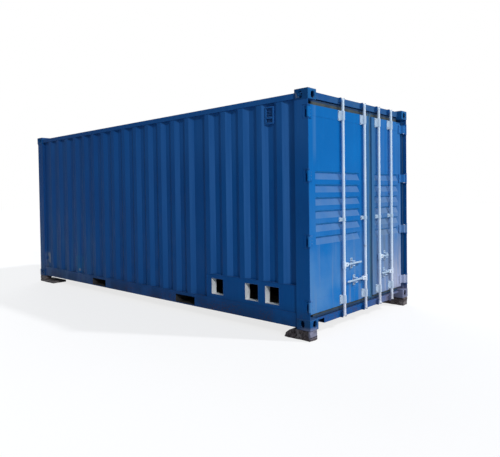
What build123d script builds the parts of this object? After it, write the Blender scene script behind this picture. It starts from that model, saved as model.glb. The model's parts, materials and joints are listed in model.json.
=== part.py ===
from build123d import *
import os

# Steel shipping container, 20 ft long and 8 ft wide, standing on timber blocks.
# Millimetres. +X runs to the door end, -Y is the side with the three square openings,
# +Z is up. The origin is on the ground, under the middle of the container.
# Depths named "in" are measured inwards from the outer plane of a side or an end.

# Overall size
length = 6058.0
width = 2438.0
height = 2591.0
block_height = 110.0

# Corner castings
casting_length = 178.0
casting_width = 162.0
casting_height = 118.0
casting_cap = 28.0
casting_wall = 16.0
casting_back = 12.0
cap_hole_length = 124.0
cap_hole_width = 63.5
cap_hole_from_end = 101.5
cap_hole_from_side = 89.0
face_hole_height = 76.0
side_hole_width = 51.0
end_hole_width = 63.5
face_hole_from_cap = 66.0

# Rear corner posts: a closed box and an outer plate whose edge is open at the hinges
rear_post_end_in = 50.0
rear_post_side_in = 10.0
rear_post_inner = 56.0
rear_post_wall = 8.0
post_plate_end_in = 5.0
post_plate_side_in = 5.0
post_notch_gap = 3.0
post_notch_length = 80.0

# Front corner posts, bent plate
front_post_end_in = 8.0
front_post_side_in = 10.0
front_post_end_leg = 130.0
front_post_lip = 50.0
front_post_wall = 6.0

# Side rails
rail_in = 14.0
top_rail_size = 60.0
top_rail_wall = 3.0
top_rail_drop = 38.0
bottom_rail_lift = 15.0
bottom_rail_height = 157.0
bottom_rail_flange = 48.0
bottom_rail_wall = 4.5

# Corrugated side walls
wall_in = 20.0
wall_depth = 36.0
wall_sheet = 2.0
wall_pitch = 285.0
wall_crest = 74.0
wall_slope = 68.0
wall_edge_flat = 12.0

# Left wall: its two groups of corrugations, measured forward from the door frame
break_from_frame = 1481.0
front_group_from_frame = 1769.0
rear_group_from_frame = 1394.0

# Flat plate with three square openings, low in the left wall
plate_top = 472.0
plate_in = 24.0
plate_sheet = 4.0
plate_edge_in = 58.0
opening_size = 198.0
opening_low = 220.0
openings_from_frame = (1212.0, 653.0, 349.0)
sleeve_wall = 4.0
sleeve_depth = 85.0

# Front wall
front_wall_in = 20.0
front_wall_depth = 45.0
front_wall_pitch = 250.0
front_wall_crest = 110.0
front_wall_slope = 18.0

# Front rails
front_rail_in = 10.0
front_rail_depth = 60.0
front_rail_wall = 4.0
front_roof_plate = 4.0

# Roof sheet
roof_sheet = 2.0
roof_seat = 30.0
roof_border = 110.0
roof_rise = 20.0
roof_pitch = 209.0
roof_crest = 91.0
roof_slope = 14.0

# Floor and what carries it
floor_thickness = 28.0
floor_side_in = 64.0
floor_boards_across = 2
floor_boards_along = 5
floor_joint = 3.0
cross_member_width = 45.0
cross_member_wall = 4.0
cross_member_pitch = 305.0

# Fork pockets
pocket_spacing = 2076.0
pocket_width = 380.0
pocket_low = 27.0
pocket_rail_top = 134.0
pocket_sheet = 4.0

# Door frame
header_in = 64.0
header_top_drop = 14.0
frame_box_wall = 4.0
header_face_height = 73.0
sill_lift = 17.0
sill_face_top = 96.0
frame_step_in = 118.0
sill_notch_width = 215.0
sill_notch_top = 74.0

# Door leaves: the seam is off centre, so the left leaf is the wider one
seam_y = 264.0
leaf_in = 60.0
leaf_depth = 50.0
leaf_wall = 3.2
hinge_stile_width = 70.0
meeting_stile_width = 60.0
top_door_rail = 120.0
bottom_door_rail = 150.0
panel_set_back = 2.0
panel_sheet = 2.0
panel_rib_depth = 20.0
panel_rib_pitch = 144.0
panel_rib_floor = 4.0
panel_rib_slope = 72.0
panel_rib_step = 14.0
panel_rib_end_slope = 30.0
panel_rib_low = 977.0
panel_ribs = 6
left_ribs_in = (146.0, 248.0)
right_ribs_in = (74.0, 86.0)

# Door gaskets
gasket_side_lip = 12.0
gasket_meeting_lip = 31.0
gasket_top_lip = 60.0
gasket_bottom_lip = 50.0
gasket_in = 78.0
gasket_depth = 26.0
gasket_gap = 5.0
gasket_frame_gap = 10.0
gasket_casting_gap = 7.0
seam_gap = 9.0

# Hinges
pin_in = 12.0
pin_radius = 6.0
pin_play = 0.3
barrel_radius = 12.0
lower_hinge_heights = (255.0, 960.0, 1660.0)
top_hinge_drop = 251.0
blade_height = 110.0
blade_thickness = 10.0
blade_offset = 5.0
blade_reach = 150.0
lug_thickness = 16.0
lug_gap = 2.0
lug_width = 24.0

# Locking bars, numbered from the left edge of the door end
bar_in = 32.0
bar_radius = 17.0
bar_wall = 3.5
bar_play = 0.5
left_bar_spacing = 515.0
right_bar_spacing = 347.0
left_inner_bar_from_seam = 204.0
right_inner_bar_from_seam = 176.0
bar_low = 34.0
bar_top_drop = 25.0
cam_thickness = 26.0
cam_reach = 23.0
cam_nose = 16.0

# Bar brackets
lower_bracket_heights = (226.0, 1162.0)
top_bracket_drop = 221.0
bracket_talls = (108.0, 50.0, 118.0)
bracket_wide = 126.0
bracket_plate = 6.0
bracket_strap_wide = 90.0
bracket_strap_edge = 5.0
bracket_strap_wall = 4.0

# Keepers that the cams turn in
keeper_plate = 4.0
keeper_wide = 104.0
keeper_tall = 66.0
keeper_ear = 10.0
keeper_ear_gap = 31.0
keeper_out = 30.0

# Handles: height, and how far short of the next bar each one ends
handle_heights = (627.0, 418.0, 640.0, 414.0)
handle_short_of_bar = (96.0, 72.0, 97.0, 65.0)
handle_tall = 32.0
handle_thick = 12.0
hub_tall = 84.0
hub_wall = 4.5
catch_shares = (0.50, 0.55, 0.74, 0.65)
catch_wide = 46.0
catch_tall = 124.0
catch_plate = 6.0
catch_lip = 8.0
catch_clearance = 6.0
catch_out = 16.0

# Ventilators
vent_wide = 118.0
vent_tall = 200.0
vent_drop = 34.0
vent_in = 25.0
vent_slot = 14.0

# Timber under the castings
door_block_length = 330.0
door_block_width = 140.0
front_block_length = 175.0
front_block_width = 140.0
board_length = 490.0
board_width = 260.0
board_thickness = 36.0

# Planes and levels worked out from the sizes above
door_plane = length / 2
side_plane = width / 2
base = block_height
top = base + height
frame_end = door_plane - casting_length
castings_y = side_plane - casting_width
post_low = base + casting_height
post_high = top - casting_height
rail_top = top - top_rail_drop
wall_low = base + bottom_rail_lift + bottom_rail_height
wall_high = rail_top - top_rail_size
floor_low = wall_low - floor_thickness
posts_y = side_plane - rear_post_inner
pin_x = door_plane - pin_in
pin_y = side_plane - pin_in
bar_x = door_plane - bar_in
leaf_x = door_plane - leaf_in
left_break = frame_end - break_from_frame
front_group_last_crest = frame_end - front_group_from_frame
rear_group_first_crest = frame_end - rear_group_from_frame
plate_start = rear_group_first_crest
opening_centres = [frame_end - back for back in openings_from_frame]
header_face_low = height - header_top_drop - header_face_height
leaf_bottom = sill_face_top + gasket_frame_gap + gasket_bottom_lip
leaf_top = header_face_low - gasket_frame_gap - gasket_top_lip
bar_high = height - bar_top_drop
hinge_heights = (*lower_hinge_heights, height - top_hinge_drop)
bracket_heights = (*lower_bracket_heights, height - top_bracket_drop)
inner_bars = (seam_y - left_inner_bar_from_seam, seam_y + right_inner_bar_from_seam)
bar_places = (inner_bars[0] - left_bar_spacing, *inner_bars, inner_bars[1] + right_bar_spacing)


def box(x, y, z):
    """Block between two x, two y and two z values."""
    block = Box(x[1] - x[0], y[1] - y[0], z[1] - z[0])
    return Pos((x[0] + x[1]) / 2, (y[0] + y[1]) / 2, (z[0] + z[1]) / 2) * block


def polygon(points):
    """Flat face inside a closed outline."""
    return make_face(Polyline(points, close=True))


def octagon(radius):
    """Regular octagon with flats across the axes, drawn round a circle."""
    return RegularPolygon(radius, 8, major_radius=False, rotation=22.5)


def slot(length, width, upright):
    """Slot outline with half-octagon ends, long side along the first axis or upright."""
    half = width / 2
    flat = length / 2 - half
    cut = half * 0.4142
    right = [(flat + cut, -half), (flat + half, -cut), (flat + half, cut), (flat + cut, half)]
    points = right + [(-a, -b) for a, b in right]
    return polygon([(-b, a) for a, b in points] if upright else points)


def along_z(face, z):
    """Upright prism of an outline drawn in plan."""
    return extrude(Pos(0, 0, z[0]) * face, amount=z[1] - z[0])


def along_y(face, y):
    """Prism of an outline drawn as x and z, run across the width."""
    plane = Plane(origin=(0, y[0], 0), x_dir=(1, 0, 0), z_dir=(0, -1, 0))
    return extrude(plane * face, amount=y[1] - y[0], dir=(0, 1, 0))


def along_x(face, x):
    """Prism of an outline drawn as y and z, run along the length."""
    plane = Plane(origin=(x[0], 0, 0), x_dir=(0, 1, 0), z_dir=(1, 0, 0))
    return extrude(plane * face, amount=x[1] - x[0])


def ribbon(points, thickness):
    """Section of a bent sheet: a line and its parallel on the left of it."""
    line = [Vector(*point) for point in points]
    runs = [(b - a).normalized() for a, b in zip(line, line[1:])]
    normals = [Vector(-run.Y, run.X) for run in runs]
    normals = [normals[0], *normals, normals[-1]]
    parallel = []
    for point, before, after in zip(line, normals, normals[1:]):
        mitre = (before + after) * (thickness / (1 + before.dot(after)))
        parallel.append(point + mitre)
    return polygon(line + parallel[::-1])


def ring(a, b, wall):
    """Section of a rectangular tube between two values of a and two of b."""
    outer = polygon([(a[0], b[0]), (a[1], b[0]), (a[1], b[1]), (a[0], b[1])])
    inner = polygon([
        (a[0] + wall, b[0] + wall),
        (a[1] - wall, b[0] + wall),
        (a[1] - wall, b[1] - wall),
        (a[0] + wall, b[1] - wall),
    ])
    return outer - inner


def waves(start, end, crest_starts, crest, slope, high, low):
    """Line of a corrugated sheet: trapezoid crests on a low line."""
    line = [(start, low)]
    for place in crest_starts:
        line.append((place - slope, low))
        line.append((place, high))
        line.append((place + crest, high))
        line.append((place + crest + slope, low))
    line.append((end, low))
    return line


def middle_crests(half, pitch, crest, slope):
    """Starts of as many crests as fit between -half and half, centred."""
    more = int((2 * half - 2 * slope - crest) // pitch)
    run = pitch * more + crest
    return [pitch * step - run / 2 for step in range(more + 1)]


def both_sides(part):
    """A part and its mirror image on the other side."""
    return [part, mirror(part, about=Plane.XZ)]


def four_corners(part):
    """A part repeated at all four corners."""
    ends = [part, mirror(part, about=Plane.YZ)]
    return [copy for end in ends for copy in both_sides(end)]


def group(parts):
    """Separate solids kept together as one node."""
    return Compound([solid for part in parts for solid in part.solids()])


# Corner castings
def casting(cap_up):
    """Hollow corner casting at +X +Y with a hole in each outer face."""
    x = (frame_end, door_plane)
    y = (castings_y, side_plane)
    low = post_high if cap_up else base
    z = (low, low + casting_height)
    cap_z = z[1] if cap_up else z[0]
    inward = -1 if cap_up else 1
    cavity_z = sorted([
        cap_z + inward * casting_cap,
        cap_z + inward * (casting_height - casting_back),
    ])
    cavity = box(
        (x[0] + casting_back, x[1] - casting_wall),
        (y[0] + casting_back, y[1] - casting_wall),
        cavity_z,
    )
    hole_x = door_plane - cap_hole_from_end
    hole_y = side_plane - cap_hole_from_side
    hole_z = cap_z + inward * face_hole_from_cap
    cap_slot = slot(cap_hole_length, cap_hole_width, False)
    side_slot = slot(face_hole_height, side_hole_width, True)
    end_slot = slot(face_hole_height, end_hole_width, True)
    cap_hole = Pos(hole_x, hole_y, cap_z) * extrude(cap_slot, amount=casting_cap, both=True)
    side_hole = Plane.XZ.offset(-side_plane) * Pos(hole_x, hole_z) * side_slot
    end_hole = Plane.YZ.offset(door_plane) * Pos(hole_y, hole_z) * end_slot
    body = box(x, y, z) - cavity - cap_hole
    body -= extrude(side_hole, amount=casting_wall, both=True)
    body -= extrude(end_hole, amount=casting_wall, both=True)
    return body


# Corner posts
def rear_posts():
    """Closed boxes, each with an outer plate that reaches past it between the hinges."""
    section = ring(
        (frame_end, door_plane - rear_post_end_in),
        (posts_y, side_plane - rear_post_side_in),
        rear_post_wall,
    )
    plate_y = (side_plane - rear_post_side_in, side_plane - post_plate_side_in)
    edge_x = (door_plane - post_notch_length, door_plane - post_plate_end_in)
    reach = blade_height / 2 + lug_gap + lug_thickness + post_notch_gap
    ends = [post_low]
    for height_up in hinge_heights:
        ends += [base + height_up - reach, base + height_up + reach]
    ends.append(post_high)
    posts = both_sides(along_z(section, (post_low, post_high)))
    posts += both_sides(box((frame_end, edge_x[0]), plate_y, (post_low, post_high)))
    for low, high in zip(ends[::2], ends[1::2]):
        posts += both_sides(box(edge_x, plate_y, (low, high)))
    return group(posts)


def front_posts():
    end_x = front_post_end_in - door_plane
    side_y = front_post_side_in - side_plane
    leg_y = front_post_end_leg - side_plane
    section = ribbon(
        [
            (end_x + front_post_lip, leg_y),
            (end_x, leg_y),
            (end_x, side_y),
            (-frame_end, side_y),
            (-frame_end, side_y + front_post_lip),
        ],
        front_post_wall,
    )
    return group(both_sides(along_z(section, (post_low, post_high))))


# Side rails
def top_side_rails():
    section = ring(
        (side_plane - rail_in - top_rail_size, side_plane - rail_in),
        (rail_top - top_rail_size, rail_top),
        top_rail_wall,
    )
    return group(both_sides(along_x(section, (-frame_end, frame_end))))


def bottom_side_rails():
    """Channels open to the inside, cut out for the fork pockets."""
    low = wall_low - bottom_rail_height
    web = side_plane - rail_in
    section = ribbon(
        [
            (web - bottom_rail_flange, low),
            (web, low),
            (web, wall_low),
            (web - bottom_rail_flange, wall_low),
        ],
        bottom_rail_wall,
    )
    rail = along_x(section, (-frame_end, frame_end))
    for pocket in pocket_spans():
        rail -= box(
            pocket,
            (web - 2 * bottom_rail_wall, web + bottom_rail_wall),
            (base + pocket_low, base + pocket_rail_top),
        )
    return group(both_sides(rail))


def pocket_spans():
    """Start and end along X of the two fork pockets."""
    middles = (-pocket_spacing / 2, pocket_spacing / 2)
    return [(middle - pocket_width / 2, middle + pocket_width / 2) for middle in middles]


# Side walls
def wall_piece(start, end, crest_starts, low):
    """Corrugated sheet on the -Y side, from low up to the top side rail."""
    outer = wall_in - side_plane
    line = waves(start, end, crest_starts, wall_crest, wall_slope, outer, outer + wall_depth)
    return along_z(ribbon(line, wall_sheet), (low, wall_high))


def crests_back_from(last, start):
    """Starts of regular crests that end with the one at last."""
    room = last - wall_slope - wall_edge_flat - start
    count = int(room // wall_pitch) + 1
    return [last - wall_pitch * step for step in reversed(range(count))]


def left_wall_front():
    crests = crests_back_from(front_group_last_crest, -frame_end)
    return wall_piece(-frame_end, left_break, crests, wall_low)


def rear_group_crests():
    """Starts of the crests from the flat plate's start up to the door frame."""
    room = frame_end - wall_edge_flat - wall_slope - wall_crest - rear_group_first_crest
    return [rear_group_first_crest + wall_pitch * step for step in range(int(room // wall_pitch) + 1)]


def left_wall_rear():
    """Rear group of corrugations, cut away for the flat plate below."""
    wall = wall_piece(left_break, frame_end, rear_group_crests(), wall_low)
    cut = box(
        (plate_start, frame_end + wall_depth),
        (-side_plane, wall_depth * 3 - side_plane),
        (wall_low - wall_depth, base + plate_top),
    )
    return wall - cut


def right_wall():
    last = frame_end - wall_edge_flat - wall_slope - wall_crest
    crests = crests_back_from(last, -frame_end)
    return mirror(wall_piece(-frame_end, frame_end, crests, wall_low), about=Plane.XZ)


# Flat plate and sleeves of the three openings
def opening_spans():
    """Start and end along X of the clear openings."""
    half = opening_size / 2
    return [(centre - half, centre + half) for centre in opening_centres]


def opening_plate():
    outer = plate_in - side_plane
    edge = plate_edge_in - side_plane
    shelf = wall_in - side_plane
    high = base + plate_top
    plate = box((plate_start, frame_end), (outer, outer + plate_sheet), (wall_low, high))
    plate += box((plate_start, frame_end), (shelf, edge), (high - plate_sheet, high))
    plate += box((plate_start, plate_start + plate_sheet), (shelf, edge), (wall_low, high))
    low = base + opening_low - sleeve_wall
    for start, end in opening_spans():
        plate -= box(
            (start - sleeve_wall, end + sleeve_wall),
            (outer - plate_sheet, outer + 2 * plate_sheet),
            (low, low + opening_size + 2 * sleeve_wall),
        )
    return plate


def opening_sleeves():
    outer = plate_in - side_plane
    z = (base + opening_low - sleeve_wall, base + opening_low + opening_size + sleeve_wall)
    sleeves = []
    for start, end in opening_spans():
        section = ring((start - sleeve_wall, end + sleeve_wall), z, sleeve_wall)
        sleeves.append(along_y(section, (outer, outer + sleeve_depth)))
    return group(sleeves)


# Front end
def front_wall():
    outer = front_wall_in - door_plane
    half = side_plane - front_post_end_leg
    crests = middle_crests(half, front_wall_pitch, front_wall_crest, front_wall_slope)
    line = waves(
        -half, half, crests, front_wall_crest, front_wall_slope, outer, outer + front_wall_depth
    )
    section = ribbon([(depth, -place) for place, depth in line], wall_sheet)
    return along_z(section, (post_low, post_high))


def front_top_rail():
    x = (front_rail_in - door_plane, front_rail_in - door_plane + front_rail_depth)
    tube = ring(x, (post_high, rail_top), front_rail_wall)
    rail = along_y(tube, (-castings_y, castings_y))
    plate = box((x[0], -frame_end), (-castings_y, castings_y), (rail_top, rail_top + front_roof_plate))
    return rail + plate


def front_bottom_rail():
    x = (front_rail_in - door_plane, front_rail_in - door_plane + front_rail_depth)
    tube = ring(x, (wall_low - bottom_rail_height, post_low), front_rail_wall)
    return along_y(tube, (-castings_y, castings_y))


# Roof
def roof_panel():
    """Sheet with corrugations pressed across it, closed at both ends by a flat border."""
    crests = middle_crests(frame_end, roof_pitch, roof_crest, roof_slope)
    line = waves(
        -frame_end, frame_end, crests, roof_crest, roof_slope, rail_top + roof_rise, rail_top
    )
    half = side_plane - roof_seat
    pressed = half - roof_border
    sheet = along_y(ribbon(line, roof_sheet), (-pressed, pressed))
    strip = box((-frame_end, frame_end), (pressed, half), (rail_top, rail_top + roof_sheet))
    ends = both_sides(strip)
    for place in crests:
        outline = polygon([
            (place - roof_slope, rail_top),
            (place, rail_top + roof_rise),
            (place + roof_crest, rail_top + roof_rise),
            (place + roof_crest + roof_slope, rail_top),
        ])
        ends += both_sides(along_y(outline, (pressed - roof_sheet, pressed)))
    return sheet + ends


# Floor
def floor_boards():
    x = (-floor_front(), frame_end - floor_joint)
    half = side_plane - floor_side_in
    pitch_x = (x[1] - x[0] + floor_joint) / floor_boards_along
    pitch_y = (2 * half + floor_joint) / floor_boards_across
    boards = []
    for along in range(floor_boards_along):
        for across in range(floor_boards_across):
            start = x[0] + pitch_x * along
            side = -half + pitch_y * across
            boards.append(box(
                (start, start + pitch_x - floor_joint),
                (side, side + pitch_y - floor_joint),
                (floor_low, wall_low),
            ))
    return group(boards)


def floor_front():
    """Distance from the middle to the front edge of the floor."""
    return door_plane - front_wall_in - front_wall_depth - wall_sheet - floor_joint


def cross_members():
    """Channels across the width, none where a fork pocket passes."""
    low = wall_low - bottom_rail_height + bottom_rail_wall
    half = side_plane - rail_in - bottom_rail_wall
    count = int((2 * frame_end - cross_member_width) // cross_member_pitch)
    first = -cross_member_pitch * count / 2
    members = []
    for step in range(count + 1):
        web = first + cross_member_pitch * step
        section = ribbon(
            [
                (web + cross_member_width / 2, low),
                (web - cross_member_width / 2, low),
                (web - cross_member_width / 2, floor_low),
                (web + cross_member_width / 2, floor_low),
            ],
            -cross_member_wall,
        )
        clear = cross_member_width / 2 + 2 * pocket_sheet
        hit = [a for a, b in pocket_spans() if a - clear < web < b + clear]
        if not hit:
            members.append(along_y(section, (-half, half)))
    return group(members)


def fork_pockets():
    """Tunnels across the width for the forks of a truck."""
    half = side_plane - rail_in - bottom_rail_wall
    z = (base + pocket_low - pocket_sheet, floor_low)
    tunnels = []
    for start, end in pocket_spans():
        section = ring((start - pocket_sheet, end + pocket_sheet), z, pocket_sheet)
        tunnels.append(along_y(section, (-half, half)))
    return group(tunnels)


# Door frame
def stepped_beam(face, turn, back):
    """Hollow beam across the width: a face between two z, set back between turn and back."""
    outer = door_plane - header_in
    step = door_plane - frame_step_in
    wall = frame_box_wall
    inward = 1 if back > face else -1
    section = polygon([
        (frame_end, face),
        (outer, face),
        (outer, turn),
        (step, turn),
        (step, back),
        (frame_end, back),
    ])
    hollow = polygon([
        (frame_end + wall, face + inward * wall),
        (outer - wall, face + inward * wall),
        (outer - wall, turn - inward * wall),
        (step - wall, turn - inward * wall),
        (step - wall, back - inward * wall),
        (frame_end + wall, back - inward * wall),
    ])
    return along_y(section - hollow, (-castings_y, castings_y))


def door_header():
    """Box beam set back behind the top edge of the doors."""
    return stepped_beam(top - header_top_drop, base + header_face_low, post_high)


def door_sill():
    """Box beam set back behind the bottom of the doors, with a notch beside each casting."""
    outer = door_plane - header_in
    step = door_plane - frame_step_in
    low = base + sill_lift
    sill = stepped_beam(low, base + sill_face_top, wall_low)
    notch = box(
        (frame_end - frame_box_wall, outer + frame_box_wall),
        (castings_y - sill_notch_width, castings_y),
        (low - frame_box_wall, base + sill_notch_top),
    )
    for cut in both_sides(notch):
        sill -= cut
    riser = box((frame_end, step), (castings_y, posts_y), (post_low, wall_low))
    for end in both_sides(riser):
        sill += end
    return sill


# Door leaves, each given by its two steel edges across the width
def leaf_edges(left):
    outer = posts_y - gasket_gap - gasket_side_lip
    meeting = seam_gap / 2 + gasket_meeting_lip
    return (-outer, seam_y - meeting) if left else (seam_y + meeting, outer)


def leaf_inner_edges(left):
    """Inner faces of the two stiles."""
    low, high = leaf_edges(left)
    if left:
        return low + hinge_stile_width, high - meeting_stile_width
    return low + meeting_stile_width, high - hinge_stile_width


def leaf_levels():
    return base + leaf_bottom, base + leaf_top


def door_stiles(left):
    outer = leaf_edges(left)
    inner = leaf_inner_edges(left)
    x = (leaf_x - leaf_depth, leaf_x)
    tubes = [(outer[0], inner[0]), (inner[1], outer[1])]
    return group([along_z(ring(x, y, leaf_wall), leaf_levels()) for y in tubes])


def door_rails(left):
    """Channels between the stiles, open to the inside of the container."""
    low, high = leaf_levels()
    rails = []
    for z in ((low, low + bottom_door_rail), (high - top_door_rail, high)):
        section = ribbon(
            [
                (leaf_x - leaf_depth, z[0]),
                (leaf_x, z[0]),
                (leaf_x, z[1]),
                (leaf_x - leaf_depth, z[1]),
            ],
            leaf_wall,
        )
        rails.append(along_y(section, leaf_inner_edges(left)))
    return group(rails)


def rib_pocket(y, z, grow):
    """Hollow of one rib, drawn at its floor's low edge z; grow adds the sheet's thickness."""
    plain = leaf_x - panel_set_back
    floor = plain - panel_rib_depth
    high = z + panel_rib_floor
    side = polygon([
        (leaf_x, z - panel_rib_slope),
        (plain, z - panel_rib_slope),
        (floor, z),
        (floor, high),
        (plain, high + panel_rib_step),
        (leaf_x, high + panel_rib_step),
    ])
    plan = polygon([
        (leaf_x, y[0]),
        (plain, y[0]),
        (floor, y[0] + panel_rib_end_slope),
        (floor, y[1] - panel_rib_end_slope),
        (plain, y[1]),
        (leaf_x, y[1]),
    ])
    if grow:
        side = offset(side, grow, kind=Kind.INTERSECTION)
        plan = offset(plan, grow, kind=Kind.INTERSECTION)
    run = (y[0] - 2 * grow, y[1] + 2 * grow)
    rise = (z - panel_rib_slope - 2 * grow, high + panel_rib_step + 2 * grow)
    return along_y(side, run) & along_z(plan, rise)


def door_panel(left):
    """Sheet with horizontal ribs pressed into its middle."""
    edges = leaf_edges(left)
    ends_in = left_ribs_in if left else right_ribs_in
    low, high = leaf_levels()
    plain = leaf_x - panel_set_back
    z = (low + bottom_door_rail, high - top_door_rail)
    panel = box((plain - panel_sheet, plain), leaf_inner_edges(left), z)
    ribs = (edges[0] + ends_in[0], edges[1] - ends_in[1])
    levels = [base + panel_rib_low + panel_rib_pitch * step for step in range(panel_ribs)]
    front = box((plain, leaf_x + panel_rib_depth), edges, z)
    for level in levels:
        panel += rib_pocket(ribs, level, panel_sheet) - front
    for level in levels:
        panel -= rib_pocket(ribs, level, 0)
    return panel


def door_gasket(left):
    y = leaf_edges(left)
    z = leaf_levels()
    x = (door_plane - gasket_in - gasket_depth, door_plane - gasket_in)
    side = gasket_side_lip
    lips = (side, gasket_meeting_lip) if left else (gasket_meeting_lip, side)
    edge = castings_y - gasket_casting_gap
    outer = box(x, (y[0] - lips[0], y[1] + lips[1]), (z[0] - side, z[1] + side))
    outer += box(
        x,
        (max(y[0] - lips[0], -edge), min(y[1] + lips[1], edge)),
        (z[0] - gasket_bottom_lip, z[1] + gasket_top_lip),
    )
    return outer - box((x[0] - side, x[1] + side), y, z)


# Hinges, drawn for the +Y side
def hinge_blade(z):
    """Cranked blade from the pin, across the post, to the face of the leaf."""
    near = pin_x - blade_offset
    far = near - blade_thickness
    seat = leaf_x + blade_thickness
    turn = posts_y
    end = side_plane - blade_reach
    arm = polygon([
        (far, pin_y),
        (near, pin_y),
        (near, turn - blade_thickness),
        (seat, turn - 3 * blade_thickness),
        (seat, end),
        (leaf_x, end),
        (leaf_x, turn - 2 * blade_thickness),
        (far, turn - blade_offset),
    ])
    section = arm + Pos(pin_x, pin_y) * octagon(barrel_radius)
    section -= Pos(pin_x, pin_y) * octagon(pin_radius + pin_play)
    return along_z(section, (z - blade_height / 2, z + blade_height / 2))


def hinge_blades(left):
    blades = [hinge_blade(base + z) for z in hinge_heights]
    return group([mirror(blade, about=Plane.XZ) for blade in blades] if left else blades)


def hinge_lugs():
    """Pairs of lugs on the rear posts, each pair with its pin."""
    lugs = []
    post_x = door_plane - rear_post_end_in
    edge = side_plane - rear_post_side_in
    plan = polygon([(post_x, edge), (pin_x, edge), (pin_x, edge - lug_width), (post_x, edge - lug_width)])
    plan += Pos(pin_x, pin_y) * octagon(barrel_radius)
    reach = blade_height / 2 + lug_gap
    for height_up in hinge_heights:
        z = base + height_up
        lug = along_z(plan, (z + reach, z + reach + lug_thickness))
        lug += along_z(plan, (z - reach - lug_thickness, z - reach))
        pin = Pos(pin_x, pin_y) * RegularPolygon(pin_radius, 8, rotation=22.5)
        lug += along_z(pin, (z - reach - lug_thickness, z + reach + lug_thickness))
        lugs += both_sides(lug)
    return group(lugs)


# Locking bars
def locking_bar(y):
    """Tube with a cam at each end; the cams lie across the width when locked."""
    low, high = base + bar_low, base + bar_high
    tube = Circle(bar_radius) - octagon(bar_radius - bar_wall)
    bar = along_z(Pos(bar_x, y) * tube, (low + cam_thickness, high - cam_thickness))
    nose = cam_nose / 2
    cam = Pos(bar_x, y) * polygon([
        (bar_radius, -nose),
        (bar_radius, nose),
        (nose, cam_reach),
        (-nose, cam_reach),
        (-bar_radius, nose),
        (-bar_radius, -nose),
        (-nose, -cam_reach),
        (nose, -cam_reach),
    ])
    for z in (low, high - cam_thickness):
        bar += along_z(cam, (z, z + cam_thickness))
    return bar


def bar_keepers():
    """U-shaped keepers, open outwards, on the header and the sill."""
    face = door_plane - header_in
    keepers = []
    for y in bar_places:
        plan = polygon([(face, y - keeper_wide / 2), (face + keeper_plate, y - keeper_wide / 2),
                        (face + keeper_plate, y + keeper_wide / 2), (face, y + keeper_wide / 2)])
        for sense in (-1, 1):
            near = y + sense * keeper_ear_gap
            far = near + sense * keeper_ear
            plan += polygon([
                (face, near),
                (door_plane - keeper_out, near),
                (door_plane - keeper_out, far),
                (face, far),
            ])
        for low in (bar_low, bar_high - cam_thickness):
            middle = base + low + cam_thickness / 2
            low_edge = max(middle - keeper_tall / 2, base + sill_lift)
            high_edge = min(middle + keeper_tall / 2, top - header_top_drop)
            keepers.append(along_z(plan, (low_edge, high_edge)))
    return group(keepers)


def handle_reach(bar):
    """Signed reach of a handle from its own bar towards the other bar of the leaf."""
    other = (1, 0, 3, 2)[bar]
    span = bar_places[other] - bar_places[bar]
    return span - handle_short_of_bar[bar] if span > 0 else span + handle_short_of_bar[bar]


# Brackets and catches on the leaves
def bar_bracket(y, z, tall, back):
    """Plate on the leaf with a saddle over the bar."""
    front = door_plane - bar_in + bar_radius + bar_play + bracket_strap_wall
    plate_front = leaf_x + bracket_plate
    half = bar_radius + bar_play + bracket_strap_wall
    plate = box(
        (back, plate_front),
        (y - bracket_wide / 2, y + bracket_wide / 2),
        (z - tall / 2, z + tall / 2),
    )
    foot = bracket_strap_wide / 2
    strap = polygon([(plate_front, y - foot), (bar_x, y - half), (bar_x, y + half), (plate_front, y + foot)])
    strap += Pos(bar_x, y) * octagon(front - bar_x)
    strap -= Pos(bar_x, y) * octagon(bar_radius + bar_play)
    reach = tall / 2 - bracket_strap_edge
    return plate + along_z(strap, (z - reach, z + reach))


def handle_catch(bar, back):
    """Plate on the leaf with a lip above and below the stowed handle."""
    y = bar_places[bar] + handle_reach(bar) * catch_shares[bar]
    z = base + handle_heights[bar]
    front = leaf_x + catch_plate
    half = catch_wide / 2
    gap = handle_tall / 2 + catch_clearance
    catch = box((back, front), (y - half, y + half), (z - catch_tall / 2, z + catch_tall / 2))
    for sense in (-1, 1):
        lip = sorted([z + sense * gap, z + sense * (gap + catch_lip)])
        catch += box((front, door_plane - catch_out), (y - half, y + half), lip)
    return catch


def leaf_fittings(left):
    panel_face = leaf_x - panel_set_back
    fittings = []
    for bar in ((0, 1) if left else (2, 3)):
        for height_up, tall in zip(bracket_heights, bracket_talls):
            on_panel = bottom_door_rail + leaf_bottom < height_up < leaf_top - top_door_rail
            back = panel_face if on_panel else leaf_x
            fittings.append(bar_bracket(bar_places[bar], base + height_up, tall, back))
        fittings.append(handle_catch(bar, panel_face))
    return group(fittings)


def bar_handle(bar):
    """Lever with a collar round its locking bar."""
    y = bar_places[bar]
    z = base + handle_heights[bar]
    reach = handle_reach(bar)
    sense = 1 if reach > 0 else -1
    collar = octagon(bar_radius + hub_wall) - Circle(bar_radius)
    lever_x = (bar_x - handle_thick / 2, bar_x + handle_thick / 2)
    lever_y = sorted([y + sense * (bar_radius + hub_wall / 2), y + reach])
    handle = along_z(Pos(bar_x, y) * collar, (z - hub_tall / 2, z + hub_tall / 2))
    return handle + box(lever_x, lever_y, (z - handle_tall / 2, z + handle_tall / 2))


# Ventilators, in the last but one trough of the rear group and opposite
def ventilator():
    trough = wall_pitch - wall_crest - 2 * wall_slope
    crest = rear_group_crests()[-2]
    middle = crest + wall_crest + wall_slope + trough / 2
    outer = vent_in - side_plane
    back = wall_in + wall_depth - side_plane
    half = vent_wide / 2
    seat = (trough - vent_slot) / 2
    plan = polygon([
        (middle - half, outer),
        (middle + half, outer),
        (middle + half, outer + vent_slot),
        (middle + seat, back),
        (middle - seat, back),
        (middle - half, outer + vent_slot),
    ])
    high = wall_high - vent_drop
    return along_z(plan, (high - vent_tall, high))


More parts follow.
